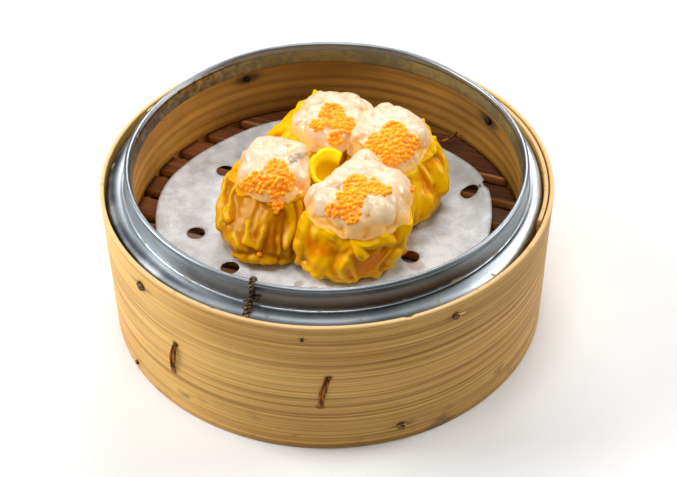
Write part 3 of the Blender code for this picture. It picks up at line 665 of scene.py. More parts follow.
def float_layers(shape, *names):
    """New layers of one number for each corner, by name."""
    for name in names:
        shape.verts.layers.float.new(name)
    return {name: shape.verts.layers.float[name] for name in names}


def section(corners, rounding=0.0):
    """A flat closed section of (radius, height) corners, with rounded corners."""
    shape = bmesh.new()
    verts = [shape.verts.new((radius, 0.0, height)) for radius, height in corners]
    shape.faces.new(verts)
    if rounding:
        bmesh.ops.bevel(shape, geom=verts, offset=rounding, segments=3, profile=0.5,
                        affect="VERTICES", material=-1)
    return shape


def divide(shape, spacing):
    """Cuts every edge of a section into lengths of about the spacing."""
    for edge in list(shape.edges):
        cuts = int(edge.calc_length() / spacing)
        if cuts:
            bmesh.ops.subdivide_edges(shape, edges=[edge], cuts=cuts)


def spin(shape, steps, start=0.0, sweep=TURN):
    """Spins a section round the basket's axis: into a ring, or a stretch with ends."""
    whole = abs(sweep - TURN) < CLOSE
    bmesh.ops.rotate(shape, verts=shape.verts, cent=(0.0, 0.0, 0.0),
                     matrix=Matrix.Rotation(start, 3, "Z"))
    if whole:
        bmesh.ops.delete(shape, geom=shape.faces, context="FACES_ONLY")
    everything = list(shape.verts) + list(shape.edges) + list(shape.faces)
    bmesh.ops.spin(shape, geom=everything, cent=(0.0, 0.0, 0.0), axis=(0.0, 0.0, 1.0),
                   dvec=(0.0, 0.0, 0.0), angle=sweep, steps=steps, use_merge=whole)
    bmesh.ops.remove_doubles(shape, verts=shape.verts, dist=CLOSE)
    bmesh.ops.recalc_face_normals(shape, faces=shape.faces)
    return shape


def lathe(profile, steps):
    """Spins an open line of (radius, height) points that starts and ends on the axis."""
    shape = bmesh.new()
    verts = [shape.verts.new((radius, 0.0, height)) for radius, height in profile]
    for first, second in zip(verts, verts[1:]):
        shape.edges.new((first, second))
    return spin(shape, steps)


def chaikin(points, rounds):
    """Cuts the corners of a closed outline, which tends to a smooth curve."""
    for _ in range(rounds):
        cut = []
        for (x, z), (far_x, far_z) in zip(points, points[1:] + points[:1]):
            cut.append((0.75 * x + 0.25 * far_x, 0.75 * z + 0.25 * far_z))
            cut.append((0.25 * x + 0.75 * far_x, 0.25 * z + 0.75 * far_z))
        points = cut
    return points


def tube(name, points, radius, finish, replaced, closed=False):
    """A round strand through points, made a mesh with welded caps."""
    curve = bpy.data.curves.new(name, "CURVE")
    curve.dimensions = "3D"
    curve.bevel_depth = radius
    curve.bevel_resolution = 3
    curve.use_fill_caps = True
    spline = curve.splines.new("POLY")
    spline.points.add(len(points) - 1)
    for point, place in zip(spline.points, points):
        point.co = (*place, 1.0)
    spline.use_cyclic_u = closed
    guide = bpy.data.objects.new(name + "_guide", curve)
    bpy.context.scene.collection.objects.link(guide)
    graph = bpy.context.evaluated_depsgraph_get()
    shape = bmesh.new()
    shape.from_mesh(bpy.data.meshes.new_from_object(guide.evaluated_get(graph)))
    bpy.data.objects.remove(guide, do_unlink=True)
    bmesh.ops.remove_doubles(shape, verts=shape.verts, dist=CLOSE)
    bmesh.ops.recalc_face_normals(shape, faces=shape.faces)
    return piece(name, shape, [finish], replaced)


# --- Stage ---------------------------------------------------------------------------------


def place_camera():
    """The camera at the eye, which looks along the line of sight."""
    lens = bpy.data.cameras.new("eye")
    lens.lens = EYE_LENS
    lens.sensor_width = EYE_SENSOR
    camera = bpy.data.objects.new("eye", lens)
    bpy.context.scene.collection.objects.link(camera)
    level = (EYE_AIM - EYE).to_track_quat("-Z", "Y").to_matrix()
    turned = level @ Matrix.Rotation(EYE_ROLL, 3, "Z")
    camera.matrix_world = Matrix.Translation(EYE) @ turned.to_4x4()
    bpy.context.scene.camera = camera


def place_ground():
    """The pale floor, a little below the basket's foot."""
    ground = bmesh.new()
    bmesh.ops.create_grid(ground, x_segments=1, y_segments=1, size=GROUND_HALF)
    bmesh.ops.translate(ground, verts=ground.verts, vec=(0.0, 0.0, -GROUND_DROP))
    mesh = bpy.data.meshes.new("ground")
    ground.to_mesh(mesh)
    ground.free()
    mesh.materials.append(Finish("ground", base_color=GROUND_COLOUR, roughness=0.8).material)
    floor = bpy.data.objects.new("ground", mesh)
    bpy.context.scene.collection.objects.link(floor)


def softbox(name, place, aim, width, depth, power):
    """A soft rectangular light that faces a point."""
    light = bpy.data.lights.new(name, "AREA")
    light.shape = "RECTANGLE"
    light.size = width
    light.size_y = depth
    light.energy = power
    lamp = bpy.data.objects.new(name, light)
    bpy.context.scene.collection.objects.link(lamp)
    lamp.location = place
    lamp.rotation_euler = (Vector(aim) - Vector(place)).to_track_quat("-Z", "Y").to_euler()


class STEAMER_OT_stage(bpy.types.Operator):
    """Makes the camera, the pale floor and the soft studio lights"""

    bl_idname = "steamer.stage"
    bl_label = "Stage"

    def execute(self, context):
        place_camera()
        place_ground()
        world = bpy.data.worlds.new("studio")
        world.use_nodes = True
        air = world.node_tree.nodes["Background"]
        air.inputs["Color"].default_value = AIR_COLOUR
        air.inputs["Strength"].default_value = AIR_STRENGTH
        context.scene.world = world
        for light in SOFTBOXES:
            softbox(*light)
        context.scene.view_settings.view_transform = "Standard"
        return {"FINISHED"}


# --- Bamboo --------------------------------------------------------------------------------


def hole_marks(finish, colour, colours):
    """Grime round the outer pegs, with level cracks from them, and at the stitches' ends."""
    for degrees, height, width in OUTER_PINS:
        hole = polar(math.radians(degrees), OUTER_RADIUS, height * MM)
        mark = finish.near(hole, 0.45 * width * MM, 0.75 * width * MM)
        colour = finish.mix(mark * 0.8, colour, colours.grime)
        level_crack = finish.near(hole, 0.1 * width * MM, 2.6 * width * MM, 7.0)
        colour = finish.mix(level_crack * 0.75, colour, colours.grime)
    for upper_angle, upper, lower_angle, lower, _ in STITCHES:
        for degrees, height in ((upper_angle, upper), (lower_angle, lower)):
            hole = polar(math.radians(degrees), OUTER_RADIUS, height * MM)
            mark = finish.near(hole, 0.8 * MM, 2.0 * MM, 1.4)
            colour = finish.mix(mark * 0.9, colour, STITCH_HOLE)
    return colour


def cut_edge(finish, colour, colours, z):
    """The strip's cream cut edge on top, with flecks of dark fibre ends."""
    top = finish.band(z, OUTER_HEIGHT - 1.1 * MM, OUTER_HEIGHT - 0.6 * MM)
    flecks = finish.noise((420.0, 420.0, 100.0), detail=2.0)
    cut = finish.mix(finish.band(flecks, 0.6, 0.75) * 0.5, colours.bamboo_cut,
                     colours.bamboo_deep)
    return finish.mix(top * 0.9, colour, cut)


def bamboo_finish(colours):
    """The outer strip: level fibres, a cream cut edge, dark holes, stains by the foot, and
    painted shade towards the front right.
    """
    finish = Finish("bamboo_outside", specular_tint=(1.0, 0.85, 0.6, 1.0),
                    specular_ior_level=0.4)
    x, y, z = finish.axes()
    fibre = finish.noise((7.0, 7.0, 2000.0), detail=2.0, roughness=0.6)
    streak = finish.noise((4.0, 4.0, 850.0), detail=3.0, roughness=0.6)
    cloud = finish.noise((16.0, 16.0, 60.0), detail=2.0)
    crack = finish.band(finish.noise((10.0, 10.0, 1000.0), detail=1.0), 0.66, 0.72)
    chatter = finish.noise((600.0, 600.0, 150.0), detail=1.0)
    tone = finish.band(fibre * 0.7 + streak * 0.4 + cloud * 0.35, 0.55, 0.88)
    colour = finish.mix(tone, colours.bamboo_deep, colours.bamboo)
    # Painted shade: the strip is darkened and browned towards the front right, where less light
    # falls; its fibres show through.
    front_right_shade = finish.band((x * 0.55 - y * 0.83) / OUTER_RADIUS, 0.25, 1.0)
    lines = finish.band(streak * 0.5 + fibre * 0.5, 0.40, 0.62)
    colour = finish.shaded(colour, 1.0 - front_right_shade * (0.46 - lines * 0.38))
    colour = finish.mix(front_right_shade * 0.3, colour, BAMBOO_SHADE)
    colour = finish.mix(crack * 0.5, colour, BAMBOO_CRACK)
    foot = finish.noise((90.0, 90.0, 140.0), detail=3.0)
    stain = finish.band(foot, 0.57, 0.72) * finish.below(z, 5.0 * MM, 24.0 * MM)
    colour = finish.mix(stain * 0.6, colour, colours.grime)
    colour = hole_marks(finish, colour, colours)
    finish.feed("Base Color", cut_edge(finish, colour, colours, z))
    finish.feed("Roughness", 0.42 + fibre * 0.25)
    finish.relief((streak, 0.10 * MM), (fibre, 0.14 * MM), (1.0 - crack, 0.15 * MM),
                  (chatter, 0.03 * MM))
    return finish


def wall_finish(colours):
    """The inner wall: steamed gold-brown with level fibres, and painted light that makes it
    lighter at the left.
    """
    finish = Finish("bamboo_inside", specular_tint=(1.0, 0.8, 0.5, 1.0),
                    specular_ior_level=0.4)
    fibre = finish.noise((8.0, 8.0, 900.0), detail=3.0, roughness=0.6)
    cloud = finish.noise((30.0, 30.0, 90.0), detail=2.0)
    tone = finish.band(fibre * 0.5 + cloud * 0.7, 0.35, 0.85)
    colour = finish.mix(tone, dimmed(colours.wall, 0.55), colours.wall)
    x = finish.axes()[0]
    # Painted light: the whole wall is brightened, most of all at the left, where the light
    # falls.
    colour = finish.shaded(colour, 1.7 - finish.band(x, -68.0 * MM, -25.0 * MM) * 0.6)
    for degrees, height, width in INNER_PINS:
        hole = polar(math.radians(degrees), WALL_TOP_RADIUS, height * MM)
        mark = finish.near(hole, 0.6 * width * MM, 2.8 * width * MM, 2.4)
        colour = finish.mix(mark * 0.92, colour, WALL_HOLE)
    finish.feed("Base Color", colour)
    finish.feed("Roughness", 0.4 + cloud * 0.2)
    finish.relief((fibre, 0.08 * MM))
    return finish


def slat_finish(colours):
    """Wet, dark slats: grain along the slats, worn, lighter edges, and painted light that is
    brighter at the left and darker at the right.
    """
    finish = Finish("slat_dark", specular_tint=(1.0, 0.8, 0.6, 1.0))
    grain = finish.noise((35.0, 900.0, 300.0), detail=3.0, distortion=0.4, turn=-SLAT_ANGLE)
    cloud = finish.noise((60.0, 160.0, 160.0), detail=2.0, turn=-SLAT_ANGLE)
    tone = finish.band(grain * 0.6 + cloud * 0.5, 0.4, 0.8)
    dark = finish.mix(tone, dimmed(colours.slat, 0.45), colours.slat)
    x = finish.axes()[0]
    # Painted light: the slats are brighter at the left, where the light falls, and darker at
    # the right.
    dark = finish.shaded(dark, 1.7 - finish.band(x, -60.0 * MM, 30.0 * MM))
    worn = finish.band(finish.attribute("worn") + grain * 0.5, 0.75, 1.15)
    finish.feed("Base Color", finish.mix(worn, dark, colours.slat_worn))
    finish.feed("Roughness", 0.35 + grain * 0.3)
    finish.relief((grain, 0.12 * MM))
    return finish


def around(vert):
    """A corner's direction and its distance from the basket's axis."""
    return math.atan2(vert.co.y, vert.co.x), math.hypot(vert.co.x, vert.co.y)


def worn_strip(shape, radius, top, wear, nicks):
    """Uneven outer face, and a top edge that is worn down and nicked."""
    for vert in shape.verts:
        place = vert.co
        angle, reach = around(vert)
        level = place.z
        if reach > radius - 0.7 * MM:
            level_fibre = Vector((place.x * 0.2, place.y * 0.2, place.z))
            reach -= 0.22 * MM * (0.5 + 0.5 * steady(place, 60.0, 2.0))
            reach -= 0.10 * MM * (0.5 + 0.5 * steady(level_fibre, 420.0, 5.0))
        if level > top - 1.0 * MM:
            level -= wear * (0.5 + 0.5 * steady(polar(angle, radius), 45.0, 4.0))
            for degrees, width, depth in nicks:
                off = math.degrees(math.remainder(angle - math.radians(degrees), TURN))
                level -= depth * MM * bell(off / width)
        vert.co = polar(angle, reach, level)


class STEAMER_OT_outer_strips(bpy.types.Operator):
    """Makes the wound outer strip and its inner end, with fibres, nicks and a cut edge"""

    bl_idname = "steamer.outer_strips"
    bl_label = "Outer strips"

    def execute(self, context):
        sizes = context.scene.steamer_sizes
        finish = bamboo_finish(context.scene.steamer_colours)
        inner = OUTER_RADIUS - sizes.strip
        ring = section(((inner, 0.0), (OUTER_RADIUS, 0.0), (OUTER_RADIUS, OUTER_HEIGHT),
                        (inner, OUTER_HEIGHT)), sizes.edge)
        divide(ring, 1.4 * MM)
        spin(ring, 360)
        worn_strip(ring, OUTER_RADIUS, OUTER_HEIGHT, sizes.wear, NICKS)
        piece("outer_strip", ring, [finish], "outer_wrap")
        outer = inner - GAP
        inner = outer - sizes.strip
        lap = section(((inner, LAP_BOTTOM), (outer, LAP_BOTTOM), (outer, LAP_TOP),
                       (inner, LAP_TOP)), sizes.edge)
        divide(lap, 4.0 * MM)
        spin(lap, 160, LAP_START, LAP_END - LAP_START)
        worn_strip(lap, outer, LAP_TOP, sizes.wear, ())
        piece("lap_strip", lap, [finish], "outer_lap")
        return {"FINISHED"}


def wall_face(share):
    """Radius of the inner wall's face at a share of its height."""
    return WALL_FOOT_RADIUS + (WALL_TOP_RADIUS - WALL_FOOT_RADIUS) * share


class STEAMER_OT_hoops(bpy.types.Operator):
    """Makes the hoops inside the strip: the middle and support hoops, and the ridged wall"""

    bl_idname = "steamer.hoops"
    bl_label = "Inner hoops"

    def execute(self, context):
        sizes = context.scene.steamer_sizes
        finish = wall_finish(context.scene.steamer_colours)
        for name, inner, outer, bottom, top in (
                ("middle_hoop", MIDDLE_INNER, MIDDLE_OUTER, 0.0, MIDDLE_TOP),
                ("support_hoop", SUPPORT_INNER, SUPPORT_OUTER, SUPPORT_BOTTOM, SUPPORT_TOP)):
            hoop = section(((inner, bottom), (outer, bottom), (outer, top), (inner, top)),
                           sizes.edge)
            divide(hoop, 6.0 * MM)
            spin(hoop, 192)
            piece(name + "_shell", hoop, [finish], name)
        piece("ridged_wall", self.wall(sizes), [finish], "inner_hoop")
        return {"FINISHED"}

    def wall(self, sizes):
        """The inner wall, which leans in towards its top, with soft ridges on its face."""
        wall = section(((WALL_BACK_RADIUS, INNER_TOP), (WALL_OUTER, WALL_SHOULDER),
                        (WALL_OUTER, INNER_BOTTOM), (WALL_FOOT_RADIUS, INNER_BOTTOM),
                        (WALL_TOP_RADIUS, INNER_TOP)))
        divide(wall, 0.7 * MM)
        spin(wall, 240)
        for vert in wall.verts:
            angle, reach = around(vert)
            share = (vert.co.z - INNER_BOTTOM) / (INNER_TOP - INNER_BOTTOM)
            if abs(reach - wall_face(share)) < 0.1 * MM and share < 0.99:
                wave = 0.5 - 0.5 * math.cos(TURN * sizes.ridge_count * share)
                drift = 0.25 * steady(polar(angle, 0.02, 0.3 * vert.co.z), 60.0, 1.0)
                reach -= sizes.ridge * (wave + drift * share)
            vert.co = polar(angle, reach, vert.co.z)
        return wall


class STEAMER_OT_slats(bpy.types.Operator):
    """Makes the slats of the basket's floor, rounded, worn and cut to the round"""

    bl_idname = "steamer.slats"
    bl_label = "Slats"

    def execute(self, context):
        sizes = context.scene.steamer_sizes
        finish = slat_finish(context.scene.steamer_colours)
        bands = [EDGE_SLATS[0]]
        for index in range(SLAT_COUNT):
            low = SLAT_FIRST + SLAT_PITCH * index
            bands.append((low, low + SLAT_WIDTH))
        bands.append(EDGE_SLATS[1])
        for index, (low, high) in enumerate(bands):
            name = f"slat_{index + 1:02d}"
            board = self.board(low, high, sizes.board_edge)
            piece("board_" + name[-2:], board, [finish], name)
        return {"FINISHED"}

    def board(self, low, high, rounding):
        """One board between two offsets, its ends on the round and its edges rounded."""
        board = bmesh.new()
        bmesh.ops.create_cube(board, size=1.0)
        thickness = SLAT_TOP - SLAT_BOTTOM
        bmesh.ops.scale(board, vec=(2.0, high - low, thickness), verts=board.verts)
        bmesh.ops.translate(board, vec=(0.0, (low + high) / 2.0, 0.0), verts=board.verts)
        long_edges = [edge for edge in board.edges if edge.calc_length() > 1.0]
        bmesh.ops.bevel(board, geom=long_edges, offset=rounding, segments=3, profile=0.5,
                        affect="EDGES", material=-1)
        flat = high - low - 2.0 * rounding
        across = [edge for edge in board.edges if edge.calc_length() < 1.0
                  and abs(abs(edge.verts[0].co.y - edge.verts[1].co.y) - flat) < CLOSE]
        bmesh.ops.subdivide_edges(board, edges=across, cuts=7, use_grid_fill=True)
        long_edges = [edge for edge in board.edges if edge.calc_length() > 1.0]
        bmesh.ops.subdivide_edges(board, edges=long_edges, cuts=48, use_grid_fill=True)
        self.wear(board, low, high, thickness)
        bmesh.ops.recalc_face_normals(board, faces=board.faces)
        return board

    def wear(self, board, low, high, thickness):
        """Cuts a board to the round, turns it in place, and wears its sides and its top."""
        worn = board.verts.layers.float.new("worn")
        turn = Matrix.Rotation(SLAT_ANGLE, 3, "Z")
        for vert in board.verts:
            x, y, z = vert.co
            side = y - (low + high) / 2.0
            edge = max(abs(side) / ((high - low) / 2.0), abs(z) / (thickness / 2.0) * 0.93)
            vert[worn] = smooth_step(0.86, 1.0, edge)
            place = Vector((x * math.sqrt(SLAT_REACH ** 2 - y * y), y, z))
            place.y -= 0.2 * MM * abs(steady(place, 90.0, low)) * math.copysign(1.0, side)
            place.z -= 0.15 * MM * abs(steady(place, 140.0, 3.0 + high)) * (z > 0.0)
            vert.co = turn @ place
            vert.co.z += SLAT_TOP - thickness / 2.0


# --- Metal ---------------------------------------------------------------------------------


class RimAreas:
    """Masks for the areas of the metal rim: 1 on the area, and 0 off it."""

    def __init__(self, finish):
        x, y, z = finish.axes()
        reach = ((x * x) + (y * y)) ** 0.5
        self.left = finish.below(x, -60.0 * MM, -20.0 * MM)
        self.right = finish.band(x, 15.0 * MM, 55.0 * MM)
        self.near_right = finish.near((42.0 * MM, -60.0 * MM, 56.0 * MM), 20.0 * MM, 75.0 * MM)
        self.front = finish.below(y, -66.0 * MM, -20.0 * MM)
        self.bead = finish.band(z, 62.0 * MM, 62.6 * MM)
        self.crease = finish.between(reach, 71.2 * MM, 71.7 * MM, 0.12 * MM)
        self.brim = finish.band(reach, 75.2 * MM, 76.0 * MM)
        self.flange = finish.band(reach, 72.0 * MM, 72.6 * MM)
        self.slope = finish.band(reach, 73.6 * MM, 75.6 * MM) * self.left
        self.inner_flange = finish.band(reach, 71.7 * MM, 71.9 * MM) * finish.below(
            reach, 72.3 * MM, 73.6 * MM)
        self.collar = finish.between(z, 56.2 * MM, 61.6 * MM, 0.5 * MM) * finish.below(
            reach, 71.5 * MM, 71.9 * MM)
        # Weight of the collar's painted reflection: full at its foot, half at its top.
        self.collar_low_shade = 1.0 - 0.5 * finish.band(z, 57.0 * MM, 61.0 * MM)
        self.lining = finish.below(reach, 69.0 * MM, 69.4 * MM) * finish.below(
            z, 62.6 * MM, 63.4 * MM)
        self.back = finish.band(y, -35.0 * MM, 10.0 * MM)
        self.crumpled = self.lining * finish.below(x, -50.0 * MM, -22.0 * MM) * finish.band(
            y, -10.0 * MM, 15.0 * MM)
        self.seam = self.lining * self.back * finish.between(z, 62.0 * MM, 62.4 * MM, 0.2 * MM)
        self.stained = self.lining * finish.band(y, -20.0 * MM, 40.0 * MM) * (
            1.0 - self.crumpled)


def outside_steel(finish, areas, colour, cloud):
    """The rim's outside: a duller bead; painted reflections on the flange, light at the right
    and dim at the front; painted dark reflections on the slope at the left and on the inner
    flange at the front right; and a painted brown reflection on the collar's front.
    """
    colour = finish.shaded(colour, 1.0 - areas.bead * 0.42)
    # Painted reflection: the flange is made lighter at the right and the left and darker at the
    # front, as if it reflected the lights there.
    bright = areas.right * 1.2 + areas.left * 0.5
    colour = finish.shaded(colour, 1.0 - areas.flange * (0.58 - bright))
    # Painted dark reflection, in patches, on the outer slope at the left.
    left_slope_shade = 0.85 - finish.band(cloud, 0.4, 0.7) * 0.35
    colour = finish.shaded(colour, 1.0 - areas.slope * left_slope_shade)
    # Painted dark reflection on the inner flange towards the front right.
    colour = finish.mix(areas.inner_flange * areas.near_right * 0.9, colour, FLANGE_DARK_REFLECTION)
    # Painted dark brown reflection on the front of the collar, strongest near the front right
    # and at the collar's foot.
    sunk = areas.collar_low_shade * (areas.near_right * 0.45 + 0.55)
    return finish.mix(areas.collar * areas.front * sunk * 0.95, colour, COLLAR_DARK_REFLECTION)


def inside_steel(finish, areas, colour, cloud, crumple):
    """The rim's lining: stained at the back, crumpled at the left with painted light and dark
    reflections of its crumples, and with a seam.
    """
    stain = finish.mix(finish.band(cloud * 0.6 + crumple * 0.5, 0.45, 0.68), LINING_DARK,
                       LINING_LIGHT)
    colour = finish.mix(areas.lining * areas.back * 0.9, colour, stain)
    # Painted reflection: light and dark patches stand for the reflections in the crumples.
    crumple_reflection = finish.mix(finish.band(crumple, 0.36, 0.70), CRUMPLE_DARK, CRUMPLE_LIGHT)
    colour = finish.mix(areas.crumpled * 0.85, colour, crumple_reflection)
    return finish.mix(areas.seam, colour, SEAM)


def steel_finish(colours):
    """Pressed sheet metal: scratches round the rim, cloudy patches and specks of residue."""
    finish = Finish("steel_rim", metallic=1.0, specular_ior_level=0.25)
    areas = RimAreas(finish)
    cloud = finish.noise(70.0, detail=3.0)
    fine = finish.noise(520.0, detail=3.0)
    scratch = finish.noise((30.0, 30.0, 2600.0), detail=2.0)
    crumple = finish.noise(260.0, detail=2.0, distortion=1.2)
    specks = finish.noise(330.0, detail=2.0, roughness=0.7)
    dirt = finish.band(specks + areas.crease * 0.16 + areas.brim * 0.08, 0.70, 0.76)
    tie = finish.near(polar(WIRE_ANGLE, 73.6 * MM, 56.5 * MM), 1.2 * MM, 5.0 * MM)
    smear = finish.band(fine + tie * 0.5, 0.74, 0.95)
    colour = finish.mix(finish.band(cloud, 0.35, 0.7), dimmed(colours.steel, 0.82),
                        colours.steel)
    colour = outside_steel(finish, areas, colour, cloud)
    colour = inside_steel(finish, areas, colour, cloud, crumple)
    colour = finish.mix(dirt * 0.7, colour, RESIDUE)
    finish.feed("Base Color", finish.mix(smear * 0.9, colour, colours.grime))
    finish.feed("Metallic", 1.0 - dirt * 0.8 - smear * 0.9 - areas.stained)
    finish.feed("Roughness", 0.25 + cloud * 0.14 + dirt * 0.3 + scratch * 0.08
                + areas.stained * 0.35 + areas.flange * 0.08)
    finish.relief((cloud, 0.05 * MM), (scratch, 0.010 * MM), (dirt, 0.04 * MM),
                  (crumple * areas.crumpled, 0.6 * MM))
    return finish


def rim_section():
    """The rim's rounded section, with its bead on top."""
    bead = []
    for step in range(BEAD_POINTS):
        angle = math.radians(BEAD_START + BEAD_STEP * step)
        bead.append((BEAD_MIDDLE[0] + BEAD_RADIUS * math.cos(angle),
                     BEAD_MIDDLE[1] + BEAD_RADIUS * math.sin(angle)))
    outline = bead + list(RIM_OUTSIDE + RIM_INSIDE)
    return section(chaikin([(radius * MM, height * MM) for radius, height in outline], 2))


class STEAMER_OT_metal_rim(bpy.types.Operator):
    """Makes the pressed metal rim with its bead, collar and rounded shoulder"""

    bl_idname = "steamer.metal_rim"
    bl_label = "Metal rim"

    def execute(self, context):
        finish = steel_finish(context.scene.steamer_colours)
        rim = spin(rim_section(), 300)
        for vert in rim.verts:
            vert.co = self.bent(vert)
        piece("metal_rim", rim, [finish], "metal_ring")
        return {"FINISHED"}

    def bent(self, vert):
        """A corner of the rim after dents, the spread of the brim, and the bend at the back."""
        angle, reach = around(vert)
        dent = 0.07 * MM * steady(vert.co, 60.0, 1.5) + 0.02 * MM * steady(vert.co, 200.0)
        middle = 0.5 * (LAP_START + LAP_END)
        clear = abs(math.remainder(angle - middle, TURN)) - 0.5 * (LAP_END - LAP_START)
        spread = BRIM_SPREAD * smooth_step(0.0, 0.5, clear)
        dent += spread * smooth_step(72.5 * MM, 75.8 * MM, reach)
        level = vert.co.z - 0.05 * MM
        bend = smooth_step(44.0 * MM, 66.0 * MM, vert.co.y) * min(
            max(level - 56.5 * MM, 0.0) / (6.5 * MM), 1.0)
        return polar(angle, reach + dent + BACK_LEAN * bend, level + BACK_RISE * bend)


# --- Fastenings ----------------------------------------------------------------------------


def peg_finish(colours, share):
    """End grain of a bamboo peg: dark, with rings and cracks, times a brightness."""
    finish = Finish("peg_end", roughness=0.7, specular_ior_level=0.2)
    grain = finish.noise(900.0, detail=3.0, roughness=0.7)
    colour = finish.mix(finish.band(grain, 0.40, 0.62), dimmed(colours.grime, 0.3), PEG_LIGHT)
    finish.feed("Base Color", finish.shaded(colour, share))
    finish.relief((grain, 0.3 * MM))
    return finish


def strand_finish(name, light, dark, metallic=0.0):
    """Rattan or wire: fine stripes and dark, wet patches."""
    finish = Finish(name, roughness=0.5, metallic=metallic, specular_ior_level=0.12)
    grain = finish.noise((1500.0, 1500.0, 260.0), detail=3.0)
    patch = finish.noise(300.0, detail=2.0)
    colour = finish.mix(finish.band(grain * 0.6 + patch * 0.6, 0.5, 0.78), dark, light)
    finish.feed("Base Color", colour)
    finish.relief((grain, 0.15 * MM))
    return finish


def splinter(shape, angle, radius, height, length, slope):
    """Adds a sliver that points away from a peg at a slope, in the second finish."""
    run = polar(angle + math.pi / 2.0, math.cos(math.radians(slope)))
    run += UP * math.sin(math.radians(slope)) + polar(angle, 0.3)
    middle = polar(angle, radius + 0.1 * MM, height) + run * 0.5 * length * MM
    turned = run.to_track_quat("Z", "X").to_matrix().to_4x4()
    made = bmesh.ops.create_cone(shape, cap_ends=True, segments=6, radius1=0.38 * MM,
                                 radius2=0.08 * MM, depth=length * MM,
                                 matrix=Matrix.Translation(middle) @ turned)
    for vert in made["verts"]:
        for side in vert.link_faces:
            side.material_index = 1


def peg(angle, radius, height, width, outward, splinters=()):
    """A low round peg on a wall, with an uneven, slightly domed end, and its splinters.

    Outward is 1 for a peg that looks away from the basket's axis and -1 for one inside.
    """
    shape = bmesh.new()
    bmesh.ops.create_cone(shape, cap_ends=True, segments=28, radius1=width / 2.0,
                          radius2=width * 0.44, depth=0.6 * MM)
    face = max(shape.faces, key=lambda side: side.calc_center_median().z)
    for _ in range(4):
        bmesh.ops.inset_region(shape, faces=[face], thickness=width * 0.09)
    for vert in shape.verts:
        if vert.co.z > 0.0:
            vert.co.z += 0.28 * MM * steady(vert.co, 700.0, angle)
        vert.co *= 1.0 + 0.05 * steady(vert.co, 500.0, 2.0 * angle)
    place = Matrix.Translation(polar(angle, radius + outward * 0.35 * MM, height))
    place = place @ Matrix.Rotation(angle, 4, "Z")
    place = place @ Matrix.Rotation(outward * math.pi / 2.0, 4, "Y")
    bmesh.ops.transform(shape, matrix=place, verts=shape.verts)
    for length, slope in splinters:
        splinter(shape, angle, radius, height, length, slope)
    return shape


